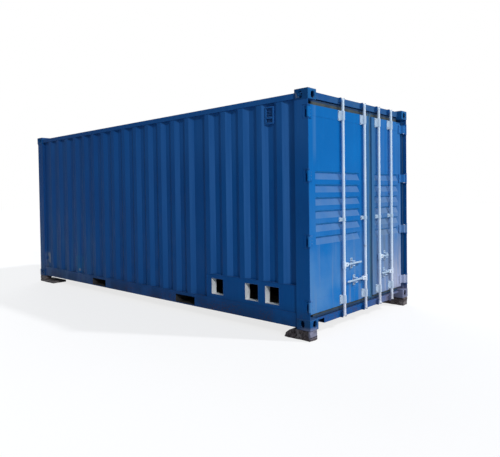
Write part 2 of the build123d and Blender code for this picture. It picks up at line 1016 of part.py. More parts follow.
def ventilators():
    left = ventilator()
    last = frame_end - wall_edge_flat - wall_slope - wall_crest
    trough = last - wall_slope - (wall_pitch - wall_crest - 2 * wall_slope) / 2
    shift = trough - left.bounding_box().center().X
    return group([left, Pos(shift, 0, 0) * mirror(left, about=Plane.XZ)])


# Timber under the castings
def timber_blocks():
    door_block = box(
        (door_plane - door_block_length, door_plane),
        (side_plane - door_block_width, side_plane),
        (0, base),
    )
    front_block = box(
        (-door_plane, front_block_length - door_plane),
        (side_plane - front_block_width, side_plane),
        (board_thickness, base),
    )
    return group(both_sides(door_block) + both_sides(front_block))


def packing_boards():
    board = box(
        (-door_plane, board_length - door_plane),
        (side_plane - board_width, side_plane),
        (0, board_thickness),
    )
    return group(both_sides(board))


nodes = {
    "corner_castings_top": group(four_corners(casting(True))),
    "corner_castings_bottom": group(four_corners(casting(False))),
    "rear_posts": rear_posts(),
    "front_posts": front_posts(),
    "top_side_rails": top_side_rails(),
    "bottom_side_rails": bottom_side_rails(),
    "door_header": door_header(),
    "door_sill": door_sill(),
    "front_top_rail": front_top_rail(),
    "front_bottom_rail": front_bottom_rail(),
    "front_wall": front_wall(),
    "side_wall_left_front": left_wall_front(),
    "side_wall_left_rear": left_wall_rear(),
    "side_wall_right": right_wall(),
    "opening_plate": opening_plate(),
    "opening_sleeves": opening_sleeves(),
    "roof_panel": roof_panel(),
    "floor_boards": floor_boards(),
    "cross_members": cross_members(),
    "fork_pockets": fork_pockets(),
    "hinge_lugs": hinge_lugs(),
    "bar_keepers": bar_keepers(),
    "ventilators": ventilators(),
    "timber_blocks": timber_blocks(),
    "packing_boards": packing_boards(),
}
for name, left in (("left", True), ("right", False)):
    nodes[name + "_door_stiles"] = door_stiles(left)
    nodes[name + "_door_rails"] = door_rails(left)
    nodes[name + "_door_panel"] = door_panel(left)
    nodes[name + "_door_gasket"] = door_gasket(left)
    nodes[name + "_hinge_blades"] = hinge_blades(left)
    nodes[name + "_door_fittings"] = leaf_fittings(left)
for number, place in enumerate(bar_places):
    nodes["locking_bar_" + str(number + 1)] = locking_bar(place)
    nodes["bar_handle_" + str(number + 1)] = bar_handle(number)

os.makedirs("parts", exist_ok=True)
for name, shape in nodes.items():
    export_step(shape, "parts/" + name + ".step")
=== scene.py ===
"""Looks of a steel shipping container on timber blocks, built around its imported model.

Metres. +X runs to the door end, -Y is the side with the three square openings, +Z is up.
"""
import json
import math
import random

import bmesh
import bpy
from mathutils import Matrix, Vector, noise


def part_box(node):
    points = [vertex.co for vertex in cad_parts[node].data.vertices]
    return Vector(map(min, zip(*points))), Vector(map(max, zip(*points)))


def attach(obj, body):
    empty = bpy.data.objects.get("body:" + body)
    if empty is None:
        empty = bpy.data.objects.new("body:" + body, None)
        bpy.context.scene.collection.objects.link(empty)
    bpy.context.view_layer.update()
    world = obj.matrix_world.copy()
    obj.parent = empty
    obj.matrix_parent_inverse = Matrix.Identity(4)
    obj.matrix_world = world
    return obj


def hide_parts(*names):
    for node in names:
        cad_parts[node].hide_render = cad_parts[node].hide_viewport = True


# Camera, as it stood for the photograph
CAMERA_PLACE = (6.0182, -5.7001, 1.5816)
CAMERA_TURN = 0.7738
CAMERA_TILT = 0.0236
CAMERA_ROLL = -0.0152
CAMERA_LENS = 36.15
CAMERA_SHIFT = (0.0703, -0.0435)

# Light: name, azimuth, height, strength and width in degrees
SUNS = (
    ("key_sun", 32.0, 44.0, 1.90, 3.0),
    ("fill_sun", -26.0, 24.0, 1.32, 9.0),
    ("back_sun", 140.0, 32.0, 1.10, 40.0),
)
SKY_COLOUR = (0.74, 0.89, 1.0)
SKY_STRENGTH = 0.24
FLOOR_HALF = 60.0

# Colours, linear
SIDE_BLUE = (0.0030, 0.088, 0.320)
SIDE_DEEP = (0.0025, 0.076, 0.285)
SIDE_LIGHT = (0.010, 0.116, 0.355)
# faded paint, also painted light on the slopes facing the door end
SIDE_FADED_AND_LIT = (0.028, 0.142, 0.420)
PATCH_TEAL = (0.014, 0.150, 0.290)
DOOR_BLUE = (0.0010, 0.158, 0.500)
DOOR_DEEP = (0.0010, 0.138, 0.450)
DOOR_LIGHT = (0.003, 0.180, 0.540)
CASTING_BLUE = (0.0060, 0.090, 0.285)
CASTING_DEEP = (0.0050, 0.056, 0.185)
CASTING_FADED = (0.016, 0.160, 0.420)
CHALK_BLUE = (0.110, 0.270, 0.530)
# painted light for the down-facing steps of the door ribs
STEP_PAINTED_LIGHT = (0.035, 0.320, 0.700)
RIB_DUST = (0.200, 0.350, 0.520)
CHALK_PALE = (0.262, 0.310, 0.410)
DUST = (0.240, 0.270, 0.330)
SEAM_DIRT = (0.042, 0.145, 0.320)
RUN_DIRT = (0.070, 0.150, 0.270)
LILAC_DUST = (0.280, 0.290, 0.420)
LILAC_PALE = (0.480, 0.500, 0.680)
FILM = (0.048, 0.020, 0.020)
SIDE_SHADE = (0.004, 0.050, 0.200)
FAR_FILM = (0.042, 0.125, 0.260)
FOOT_DIRT = (0.185, 0.195, 0.305)
HEADER_FILM = (0.090, 0.170, 0.220)
# painted shade for the recess beside the right post
RECESS_PAINTED_SHADE = (0.022, 0.060, 0.130)
GRIME = (0.012, 0.028, 0.062)
RUST = (0.130, 0.052, 0.026)
RUST_DARK = (0.050, 0.022, 0.014)
ZINC = (0.700, 0.860, 1.000)
ZINC_DARK = (0.570, 0.710, 0.940)
ZINC_BLOOM = (0.850, 0.910, 1.000)
ZINC_FOOT = (0.860, 0.840, 0.940)
# painted shade for flat zinc faces turned to the light
ZINC_PAINTED_SHADE = (0.370, 0.520, 0.690)
WHITE = (0.840, 0.860, 0.880)
SLEEVE_DIRT = (0.420, 0.420, 0.440)
RUBBER = (0.040, 0.056, 0.066)
RUBBER_BROWN = (0.078, 0.092, 0.088)
RUBBER_BLUE = (0.038, 0.160, 0.300)
LIP_BLUE = (0.010, 0.046, 0.120)
RUBBER_CRACK = (0.020, 0.018, 0.018)
TIMBER = (0.110, 0.090, 0.094)
TIMBER_PALE = (0.260, 0.235, 0.240)
TIMBER_DARK = (0.036, 0.030, 0.034)
TIMBER_CRACK = (0.012, 0.009, 0.008)
PLYWOOD = (0.260, 0.165, 0.095)
PLYWOOD_DARK = (0.130, 0.075, 0.042)
PLYWOOD_WORN = (0.330, 0.270, 0.210)
PLYWOOD_MARK = (0.070, 0.050, 0.040)
COATING = (0.030, 0.032, 0.036)
COATING_DUSTY = (0.060, 0.050, 0.046)
STEEL = (0.380, 0.420, 0.480)
STEEL_DARK = (0.200, 0.220, 0.250)
PURE_WHITE = (1.0, 1.0, 1.0)
FLOOR_SHOWN = (0.26, 0.26, 0.27)
FLOOR_GLOW = 0.76
FLOOR_BOUNCE = (0.40, 0.43, 0.46)

# Sizes shared with the model
LENGTH = 6.058
WIDTH = 2.438
HEIGHT = 2.591
BASE = 0.110
TOP = BASE + HEIGHT
DOOR_PLANE = LENGTH / 2
SIDE_PLANE = WIDTH / 2
CASTING_LENGTH = 0.178
CASTING_WIDTH = 0.162
CASTING_HEIGHT = 0.118
CASTING_CAP = 0.028
CASTING_WALL = 0.016
CASTING_BACK = 0.012
CASTING_EDGE = 0.007
CAVITY_EDGE = 0.006
CUT_OVER = 0.004
CAP_HOLE = (0.124, 0.0635)
CAP_HOLE_PLACE = (0.1015, 0.089)
SIDE_HOLE = (0.076, 0.051)
END_HOLE = (0.076, 0.0635)
FACE_HOLE_FROM_CAP = 0.066
HOLE_RIM = 0.004
FRAME_END = DOOR_PLANE - CASTING_LENGTH
WALL_IN = 0.020
LEAF_X = DOOR_PLANE - 0.060
BAR_RADIUS = 0.017
HUB_WALL = 0.0045
HANDLE_TALL = 0.032
HANDLE_THICK = 0.012
HANDLE_HEIGHTS = (0.627, 0.418, 0.640, 0.414)
BRACKET_HEIGHTS = (0.226, 1.162, 2.370)
BRACKET_TALLS = (0.108, 0.050, 0.118)
BRACKET_WIDE = 0.126
BRACKET_BOLT = 0.0066
SEAM_Y = 0.264
PLATE_IN = 0.024
POST_IN = 0.0055
BRACKET_PLATE = 0.006
CATCH_SHARES = (0.50, 0.55, 0.74, 0.65)
CATCH_TALL = 0.124
HINGE_HEIGHTS = (0.255, 0.960, 1.660, 2.340)
PIN_IN = 0.012
LUG_REACH = 0.073

# Where fading, dirt, painted light and painted shade come and go: pairs along one axis, or along two or
# three
WASH_RISE = (BASE + 0.30, BASE + 1.70)
CHALK_RISE = (BASE + 0.30, BASE + 1.75)
RIGHT_LEAF = (0.10, 0.46)
SPLASH_RISE = (BASE + 0.18, BASE + 0.85)
LEAF_CORNER = ((0.84, 0.98), (BASE + 0.22, BASE + 0.60))
RUNS = ((0.46, 0.88), (BASE + 0.20, BASE + 0.42), (BASE + 0.80, BASE + 1.80))
SEAM_SIDES = (SEAM_Y - 0.17, SEAM_Y + 0.15)
DRIP_RISE = (BASE + 0.20, BASE + 1.30)
RIB_ROWS = (BASE + 0.90, BASE + 1.90)
# painted highlight along a fold of the left leaf
FOLD_HIGHLIGHT_PLACE = ((-1.038, -0.982), (BASE + 1.75, BASE + 2.00))
WALL_RISE = (BASE + 0.40, BASE + 1.50)
WALL_TOP = (TOP - 1.05, TOP - 0.30)
WALL_END = (FRAME_END - 0.03, FRAME_END - 0.01)
NEAR_END = (-1.2, 1.4)
FILM_END = (-2.6, 0.8)
SHADE_END = (1.0, 2.5)
FAR_END = (-2.4, -0.2)
FAR_RISE = (BASE + 0.20, BASE + 1.60)
NEAR_SIDE = (-0.1, 0.1)
PATCH = ((-1.76, -1.54), (BASE + 0.18, BASE + 0.46))
SCUFF = ((-2.85, -2.72), (BASE + 0.17, BASE + 0.44))
SPOT = ((-1.675, -1.645), (BASE + 0.205, BASE + 0.245))
ROOF_EDGE = (TOP - 0.16, TOP - 0.12)
HEADER_FOOT = (TOP - 0.16, TOP - 0.13)
DOOR_END = (DOOR_PLANE - 0.14, DOOR_PLANE - 0.12)
SET_BACK = (DOOR_PLANE - 0.045, DOOR_PLANE - 0.040)
RIGHT_POST = (1.13, 1.14)
CASTING_INNER = SIDE_PLANE - CASTING_WIDTH
RIGHT_FOOT = ((2.80, 2.86), (0.0, 0.9), (BASE + 0.10, BASE + 0.22))
NEAR_FOOT = ((2.86, 2.97), (-1.12, -1.06), (BASE + 0.005, BASE + 0.05))
END_FOOT = (2.76, 2.78)
GRIME_RISE = (BASE, BASE + 0.30)
RUST_RISE = (BASE, BASE + 0.24)
ZINC_FOOT_RISE = (BASE + 0.05, BASE + 0.90)
SEAM_SPRAY = (SEAM_Y - 0.045, SEAM_Y + 0.045)
CUT_END = ((DOOR_PLANE - 0.035, DOOR_PLANE - 0.008), (-1.0, -0.9), (0.015, 0.05))
FAR_BOARDS = (-2.3, -2.1)
HANDLE_FACE = (0.0075, 0.0090)
LIP = (0.020, 0.026)

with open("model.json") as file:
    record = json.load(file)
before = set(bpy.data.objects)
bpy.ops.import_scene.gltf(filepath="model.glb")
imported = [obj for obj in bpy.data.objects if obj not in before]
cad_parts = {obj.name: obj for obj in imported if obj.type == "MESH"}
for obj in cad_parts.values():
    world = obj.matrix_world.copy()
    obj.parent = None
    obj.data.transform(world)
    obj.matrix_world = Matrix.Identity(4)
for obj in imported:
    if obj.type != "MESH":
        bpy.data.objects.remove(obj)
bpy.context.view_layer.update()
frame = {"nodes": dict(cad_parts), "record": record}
random.seed(7)


# Mesh helpers
def loose_object(bm, name):
    """Object made of a bmesh, on no body."""
    mesh = bpy.data.meshes.new(name)
    bm.to_mesh(mesh)
    bm.free()
    made = bpy.data.objects.new(name, mesh)
    bpy.context.scene.collection.objects.link(made)
    return made


def smooth_mesh(bm, name, material, body="container", angle=38.0):
    """Turns a bmesh into a piece that rides on a body."""
    bm.normal_update()
    limit = math.radians(angle)
    for face in bm.faces:
        face.smooth = True
    for edge in bm.edges:
        edge.smooth = len(edge.link_faces) == 2 and edge.calc_face_angle(0.0) < limit
    piece = loose_object(bm, name)
    piece.data.materials.append(material)
    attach(piece, body)
    return piece


def add_box(bm, low, high, bevel=0.0, segments=2):
    """Box between two corners, with rounded edges."""
    low, high = Vector(low), Vector(high)
    size = high - low
    place = Matrix.Translation((low + high) / 2) @ Matrix.Diagonal((*size, 1.0))
    made = bmesh.ops.create_cube(bm, size=1.0, matrix=place)
    if bevel:
        edges = {edge for vert in made["verts"] for edge in vert.link_edges}
        bmesh.ops.bevel(
            bm, geom=list(edges), offset=bevel, segments=segments, profile=0.5,
            affect="EDGES", clamp_overlap=True,
        )


def turned_to(axis):
    """Rotation that carries +Z to an axis."""
    return Vector((0.0, 0.0, 1.0)).rotation_difference(Vector(axis)).to_matrix().to_4x4()


def add_round(bm, middle, axis, radius, depth, sides=24, far_radius=None):
    """Cylinder or cone, centred on a point."""
    place = Matrix.Translation(Vector(middle)) @ turned_to(axis)
    bmesh.ops.create_cone(
        bm, cap_ends=True, segments=sides, radius1=radius,
        radius2=radius if far_radius is None else far_radius, depth=depth, matrix=place,
    )


def add_bolt(bm, foot, axis, size):
    """Washer and chamfered hexagon head standing on a face."""
    foot, axis = Vector(foot), Vector(axis)
    add_round(bm, foot + axis * size * 0.08, axis, size * 1.05, size * 0.16, 16)
    add_round(bm, foot + axis * size * 0.42, axis, size * 0.80, size * 0.52, 6)
    add_round(bm, foot + axis * size * 0.75, axis, size * 0.80, size * 0.14, 6, size * 0.60)


def add_rivet(bm, foot, axis, size):
    """Low domed rivet head."""
    foot, axis = Vector(foot), Vector(axis)
    add_round(bm, foot + axis * size * 0.14, axis, size, size * 0.28, 12)
    add_round(bm, foot + axis * size * 0.42, axis, size, size * 0.28, 12, size * 0.55)


def add_prism(bm, outline, lift):
    """Prism of a closed outline of points, moved by a lift vector."""
    lift = Vector(lift)
    near = [bm.verts.new(Vector(point)) for point in outline]
    far = [bm.verts.new(Vector(point) + lift) for point in outline]
    bm.faces.new(near[::-1])
    bm.faces.new(far)
    count = len(outline)
    for step in range(count):
        after = (step + 1) % count
        bm.faces.new((near[step], near[after], far[after], far[step]))


def skin(bm, rings):
    """Closed tube over rings of corners."""
    sides = len(rings[0])
    for first, second in zip(rings, rings[1:]):
        for side in range(sides):
            after = (side + 1) % sides
            bm.faces.new((first[side], first[after], second[after], second[side]))
    bm.faces.new(rings[0])
    bm.faces.new(rings[-1][::-1])
    bmesh.ops.recalc_face_normals(bm, faces=bm.faces)


BEAD_SIDES = 6
BEAD_RIPPLE = 0.16
BEAD_UNEVEN = 0.25


def add_bead(bm, points, radius, step=0.011):
    """Weld bead along a line, with a ripple for each drop."""
    points = [Vector(point) for point in points]
    spots = [points[0]]
    for start, end in zip(points, points[1:]):
        parts = max(1, round((end - start).length / step))
        spots += [start.lerp(end, part / parts) for part in range(1, parts + 1)]
    rings = []
    last = len(spots) - 1
    for number, spot in enumerate(spots):
        along = (spots[min(last, number + 1)] - spots[max(0, number - 1)]).normalized()
        up = Vector((0.0, 0.0, 1.0)) if abs(along.z) < 0.8 else Vector((1.0, 0.0, 0.0))
        across = along.cross(up).normalized()
        up = across.cross(along)
        size = radius * (1.0 + BEAD_RIPPLE * (number % 2) + BEAD_UNEVEN * noise.noise(spot * 23.0))
        if number in (0, last):
            size *= 0.4
        turns = [math.tau * side / BEAD_SIDES for side in range(BEAD_SIDES)]
        rings.append([
            bm.verts.new(spot + (across * math.cos(turn) + up * math.sin(turn)) * size) for turn in turns
        ])
    skin(bm, rings)


# Material helper
class Finish:
    """A material under construction: adds nodes and links them."""

    def __init__(self, name):
        self.material = bpy.data.materials.new(name)
        self.material.use_nodes = True
        self.nodes = self.material.node_tree.nodes
        self.links = self.material.node_tree.links
        own = self.add("TexCoord", {}).outputs
        self.place = own["Object"]
        self.x, self.y, self.z = self.add("SeparateXYZ", {0: self.place}).outputs
        self.facing_x, _, self.facing_up = self.add("SeparateXYZ", {0: own["Normal"]}).outputs
        self.facing = self.add("NewGeometry", {}).outputs["Normal"]
        self.colour = None

    def feed(self, socket, value):
        """Links an output to a socket, or sets a number or colour on it."""
        if isinstance(value, bpy.types.NodeSocket):
            self.links.new(value, socket)
        elif socket.type == "RGBA":
            socket.default_value = (*value, 1.0)
        else:
            socket.default_value = value

    def add(self, kind, inputs, **settings):
        """New node with its settings and what its inputs get."""
        node = self.nodes.new("ShaderNode" + kind)
        for name, setting in settings.items():
            setattr(node, name, setting)
        for socket, value in inputs.items():
            self.feed(node.inputs[socket], value)
        return node

    def noise(self, scale, detail=3.0, stretch=(1.0, 1.0, 1.0), shift=0.0, distort=0.0):
        """Noise from 0 to 1, with its own stretch and shift."""
        start = (shift, shift * 1.7, shift * 0.6)
        moved = self.add("Mapping", {"Vector": self.place, "Scale": stretch, "Location": start})
        inputs = {"Vector": moved.outputs[0], "Scale": scale, "Detail": detail, "Distortion": distort}
        return self.add("TexNoise", inputs).outputs["Fac"]

    def step(self, value, low, high, out_low=0.0, out_high=1.0):
        """Smooth step of a value between low and high."""
        inputs = {0: value, "From Min": low, "From Max": high, "To Min": out_low, "To Max": out_high}
        return self.add("MapRange", inputs, interpolation_type="SMOOTHSTEP").outputs[0]

    def fall(self, value, low, high, most=1.0):
        """Smooth fall of a value between low and high, down to 0."""
        return self.step(value, low, high, most, 0.0)

    def reckon(self, kind, total, *others):
        """Values taken together, one after the other."""
        for other in others:
            total = self.add("Math", {0: total, 1: other}, operation=kind).outputs[0]
        return total

    def plus(self, first, second):
        return self.reckon("ADD", first, second)

    def rest_of(self, value):
        """What is left of 1 beside a value."""
        return self.reckon("SUBTRACT", 1.0, value)

    def times(self, *values):
        return self.reckon("MULTIPLY", *values)

    def most(self, *values):
        return self.reckon("MAXIMUM", *values)

    def mix(self, under, over, amount):
        """Colour of one coat over another."""
        return self.add("Mix", {"Factor": amount, 6: under, 7: over}, data_type="RGBA").outputs[2]

    def base(self, under, over, amount):
        """First coat: two colours mixed."""
        self.colour = self.mix(under, over, amount)

    def coat(self, over, *amounts):
        """Lays a colour over the coats so far, by the product of some amounts."""
        self.colour = self.mix(self.colour, over, self.times(*amounts))

    def band(self, value, low, high, soft):
        """1 between two values, falling to 0 over a soft edge."""
        rise = self.step(value, low - soft, low + soft)
        return self.times(rise, self.fall(value, high - soft, high + soft))

    def edges(self, radius, low, high):
        """1 along sharp edges of the shape."""
        rounded = self.add("Bevel", {"Radius": radius}, samples=4).outputs[0]
        alike = self.add("VectorMath", {0: rounded, 1: self.facing}, operation="DOT_PRODUCT")
        return self.step(self.rest_of(alike.outputs["Value"]), low, high)

    def bumps(self, *layers):
        """Bumps stacked on each other, each a height and its depth in metres."""
        inputs = {}
        for height, depth in layers:
            inputs.update({"Strength": 1.0, "Distance": depth, "Height": height})
            inputs["Normal"] = self.add("Bump", inputs).outputs[0]
        self.feed(self.nodes["Principled BSDF"].inputs["Normal"], inputs["Normal"])

    def finish(self, roughness, metallic=0.0, specular=0.5):
        """Links the coats to the shader and gives the material."""
        shader = self.nodes["Principled BSDF"].inputs
        self.feed(shader["Base Color"], self.colour)
        self.feed(shader["Roughness"], roughness)
        shader["Metallic"].default_value = metallic
        shader["Specular IOR Level"].default_value = specular
        return self.material


class Paint(Finish):
    """Old paint on steel, with the noises that its coats share."""

    def __init__(self, name):
        super().__init__(name)
        self.clouds = self.noise(0.9, 3.0)
        self.blotches = self.noise(5.0, 4.0, shift=3.0)
        self.streaks = self.noise(1.0, 4.0, stretch=(16.0, 16.0, 0.7), shift=5.0)
        self.fine_streaks = self.noise(1.0, 3.0, stretch=(70.0, 70.0, 2.2), shift=9.0)
        self.speckle = self.noise(160.0, 2.0, shift=1.0)
        self.flecks = self.noise(46.0, 3.0, shift=7.0)
        self.faces_end = self.step(self.facing_x, 0.5, 0.6)


def plain_coats(f, blue, deep, light):
    """The paint itself, in clouds, blotches and streaks."""
    f.base(deep, blue, f.step(f.clouds, 0.34, 0.60))
    f.coat(light, f.step(f.blotches, 0.52, 0.80), 0.35)
    f.coat(light, f.step(f.streaks, 0.54, 0.80), 0.40)
    f.coat(deep, f.step(f.fine_streaks, 0.50, 0.72), 0.35)


def chalk(f):
    """Doors: chalky low down and on the right leaf, with splashes from the ground."""
    streaks, height = f.streaks, f.z
    cloudy = f.step(f.noise(1.6, 3.0, shift=11.0), 0.25, 0.62)
    f.coat(CHALK_BLUE, f.fall(height, *WASH_RISE), cloudy, 0.62)
    on_right = f.step(f.y, *RIGHT_LEAF)
    ragged = f.step(f.noise(2.4, 4.0, stretch=(1.0, 1.6, 0.7), shift=13.0), 0.22, 0.55)
    washed = f.times(f.step(streaks, 0.35, 0.62, 0.55, 1.0), 0.85)
    f.coat(CHALK_PALE, on_right, f.fall(height, *CHALK_RISE), ragged, washed)
    splash_streaks = f.step(streaks, 0.42, 0.62, 0.12, 0.85)
    splash = f.times(on_right, f.fall(height, *SPLASH_RISE), splash_streaks)
    across, up = LEAF_CORNER
    corner = f.times(f.step(f.y, *across), f.fall(height, *up), 0.75)
    f.coat(LILAC_PALE, f.most(splash, corner))
    f.coat(CHALK_PALE, on_right, f.step(streaks, 0.30, 0.60, 0.02, 0.10))


def door_dirt_and_painted_light(f):
    """Doors: runs, dirt along the seam, drips, dust on the ribs, painted light on the down-facing rib
    steps and a painted highlight along a fold of the left leaf.
    """
    streaks, height = f.streaks, f.z
    across, foot, up = RUNS
    runs = f.times(f.band(f.y, *across, 0.06), f.step(height, *foot), f.fall(height, *up))
    f.coat(RUN_DIRT, runs, f.step(streaks, 0.38, 0.64, 0.10, 0.70))
    f.coat(SEAM_DIRT, f.band(f.y, *SEAM_SIDES, 0.05), f.step(streaks, 0.20, 0.55, 0.45, 0.80))
    f.coat(DUST, f.step(streaks, 0.52, 0.72), f.fall(height, *DRIP_RISE, 0.4))
    ribs = f.band(height, *RIB_ROWS, 0.02)
    # painted light: the down-facing steps of the ribs are painted a lighter blue to lift the shade on
    # them
    f.coat(STEP_PAINTED_LIGHT, f.fall(f.facing_up, -0.60, -0.30, 0.70), ribs)
    dusty = f.step(f.blotches, 0.20, 0.70, 0.60, 1.0)
    f.coat(RIB_DUST, f.step(f.facing_up, 0.10, 0.22, 0.0, 0.11), ribs, dusty)
    # painted highlight: a pale band along a fold near the left edge of the left leaf, where it catches
    # the light
    across, up = FOLD_HIGHLIGHT_PLACE
    painted_fold_highlight = f.times(f.band(f.y, *across, 0.018), f.step(height, *up))
    f.coat(CHALK_BLUE, painted_fold_highlight, f.step(streaks, 0.30, 0.55, 0.12, 0.30))


def fade(f):
    """Walls: sun-faded slopes, also painted lighter as painted light, and top at the near end, film and
    deeper blue away from it.
    """
    # slopes facing the door end: sun fade together with painted light where the light falls on them
    faded_lit_slopes = f.times(f.step(f.facing_x, 0.20, 0.42), f.step(f.z, *WALL_RISE, 0.70, 1.0))
    on_walls = f.times(f.fall(f.x, *WALL_END), f.step(f.x, *NEAR_END, 0.08, 1.0))
    high_up = f.times(f.step(f.z, *WALL_TOP, 0.0, 0.50), f.rest_of(f.faces_end))
    near_end = f.step(f.x, *NEAR_END, 0.10, 1.0)
    faded = f.most(f.times(faded_lit_slopes, on_walls), f.times(high_up, near_end))
    f.coat(SIDE_FADED_AND_LIT, faded, f.step(f.streaks, 0.30, 0.60, 0.60, 1.0))
    f.coat(FILM, f.fall(f.x, *FILM_END, 0.18))
    f.coat(SIDE_SHADE, f.fall(f.x, *SHADE_END, 0.30))


def mark(f, place, soft_x, soft_z):
    """A soft-edged oblong on the near side wall, from its pairs along X and Z."""
    across, up = place
    oblong = f.times(f.band(f.x, *across, soft_x), f.band(f.z, *up, soft_z))
    return f.times(oblong, f.fall(f.y, *NEAR_SIDE))


def marks(f):
    """Near side wall: film, a touched-up patch, a scuff and a spot at the far end."""
    far_low = f.times(f.fall(f.x, *FAR_END), f.step(f.z, *FAR_RISE, 0.55, 0.10))
    near_side = f.fall(f.y, *NEAR_SIDE)
    f.coat(FAR_FILM, far_low, f.step(f.streaks, 0.36, 0.60), near_side)
    wander = f.step(f.noise(7.0, 3.0, shift=17.0), 0.30, 0.60)
    f.coat(PATCH_TEAL, mark(f, PATCH, 0.02, 0.02), wander, 0.28)
    f.coat(DUST, mark(f, SCUFF, 0.02, 0.04), wander, 0.8)
    f.coat(DUST, mark(f, SPOT, 0.008, 0.01), 0.6)


def end_films_and_painted_shade(f):
    """Door end of the frame: header and castings faded, painted shade in the recess beside the right
    post.
    """
    on_end = f.times(f.step(f.x, *DOOR_END), f.faces_end)
    high_end = f.times(on_end, f.step(f.z, *HEADER_FOOT))
    between = f.band(f.y, -CASTING_INNER, CASTING_INNER, 0.002)
    f.coat(CASTING_FADED, high_end, f.rest_of(between), 0.5)
    f.coat(HEADER_FILM, high_end, f.step(f.blotches, 0.25, 0.65, 0.10, 0.34), between)
    # painted shade: the set-back face in the right post's recess is painted dark, where shade falls
    shaded_recess = f.times(on_end, f.fall(f.x, *SET_BACK), f.step(f.y, *RIGHT_POST))
    f.coat(RECESS_PAINTED_SHADE, shaded_recess, f.fall(f.z, *HEADER_FOOT), 0.85)


def feet(f):
    """Dirt along the foot of the container, paler at the door end."""
    blotches = f.blotches
    x, y, z = RIGHT_FOOT
    right_foot = f.times(f.step(f.x, *x), f.step(f.y, *y), f.fall(f.z, *z))
    f.coat(FOOT_DIRT, right_foot, f.step(blotches, 0.25, 0.60, 0.60, 0.98))
    x, y, z = NEAR_FOOT
    near_foot = f.times(f.step(f.x, *x), f.fall(f.y, *y), f.fall(f.z, *z))
    f.coat(LILAC_DUST, near_foot, f.step(blotches, 0.30, 0.60, 0.35, 0.85))
    end_foot = f.times(f.step(f.x, *END_FOOT), f.faces_end)
    kept = f.rest_of(f.times(f.most(right_foot, end_foot), 0.8))
    f.coat(GRIME, f.fall(f.z, *GRIME_RISE, 0.60), f.step(blotches, 0.30, 0.62, 0.3, 1.0), kept)


def rust_through(f, wear, foot_rust):
    """Rust at worn edges, in spots and runs, and along the foot."""
    worn = f.times(f.edges(0.004, 0.04, 0.22), f.step(f.flecks, 0.62 - wear, 0.72 - wear))
    spots = f.times(f.step(f.speckle, 0.86 - wear, 0.90 - wear), f.step(f.blotches, 0.50, 0.68))
    runs = f.times(f.step(f.fine_streaks, 0.68, 0.80), f.step(f.blotches, 0.58, 0.74), 0.4)
    foot = f.times(
        f.fall(f.z, *RUST_RISE, foot_rust), f.step(f.flecks, 0.44, 0.62),
        f.step(f.noise(3.1, 4.0, shift=21.0), 0.42, 0.62),
    )
    rusted = f.most(f.times(worn, 0.8), spots, runs, foot)
    f.coat(f.mix(RUST_DARK, RUST, f.step(f.speckle, 0.35, 0.65)), rusted, 0.85)
    return rusted


def weathered_paint(name, blues, own_coats, wear, foot_rust, low_dust=0.30):
    """Old paint, the coats of its own place, then dirt and painted shade, dust on upper faces and rust.
    """
    f = Paint(name)
    plain_coats(f, *blues)
    for own_coat in own_coats:
        own_coat(f)
    end_films_and_painted_shade(f)
    dust = f.times(
        f.step(f.facing_up, 0.10, 0.45), f.step(f.blotches, 0.20, 0.70, 0.45, 0.85),
        f.step(f.z, *ROOF_EDGE, low_dust, 1.0),
    )
    f.coat(DUST, dust, 0.55)
    feet(f)
    rusted = rust_through(f, wear, foot_rust)
    rough = f.plus(f.step(f.blotches, 0.3, 0.7, 0.42, 0.56), f.times(f.most(rusted, dust), 0.30))
    f.bumps((f.noise(1.7, 1.5, shift=25.0), 0.012), (f.noise(380.0, 1.0), 0.0002), (rusted, 0.0006))
    return f.finish(rough, specular=0.10)


def galvanised(name, shade_over_all=0.0):
    """Zinc with spangle and pale bloom, painted shade on flat front faces and over all by a given
    amount, and a little rust where it is worn.
    """
    f = Finish(name)
    spangle = f.noise(90.0, 2.0, distort=0.8)
    bloom = f.noise(9.0, 4.0, stretch=(1.0, 1.0, 0.35), shift=4.0)
    f.base(ZINC_DARK, ZINC, f.step(spangle, 0.30, 0.62))
    f.coat(ZINC_BLOOM, f.step(bloom, 0.45, 0.70), 0.6)
    f.coat(ZINC_FOOT, f.fall(f.z, *ZINC_FOOT_RISE, 0.60))
    bar_x = sum(corner.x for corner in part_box("locking_bar_1")) / 2
    # painted shade: flat faces of plates and handles turned to the door end, which catch the light, are
    # painted darker
    flat = f.times(f.fall(f.x, *(bar_x + face for face in HANDLE_FACE)), f.step(f.facing_x, 0.70, 0.90))
    f.coat(ZINC_PAINTED_SHADE, flat, f.step(bloom, 0.35, 0.65, 0.95, 0.75))
    # painted shade over the whole finish, by the given amount
    f.coat(ZINC_PAINTED_SHADE, shade_over_all)
    stain = f.times(
        f.step(f.noise(16.0, 4.0, shift=8.0), 0.60, 0.74), f.step(f.noise(130.0, 2.0), 0.45, 0.60), 0.5,
    )
    edge = f.times(f.edges(0.004, 0.03, 0.2), f.step(f.noise(40.0, 3.0, shift=2.0), 0.52, 0.66), 0.6)
    foot = f.times(f.fall(f.z, *GRIME_RISE, 0.3), f.step(f.noise(22.0, 3.0, shift=6.0), 0.45, 0.62))
    rust = f.most(stain, edge, foot)
    f.coat(RUST, rust)
    f.bumps((spangle, 0.0002), (rust, 0.0004))
    rough = f.plus(f.step(spangle, 0.3, 0.7, 0.40, 0.55), f.times(rust, 0.3))
    return f.finish(rough, metallic=0.04, specular=0.4)


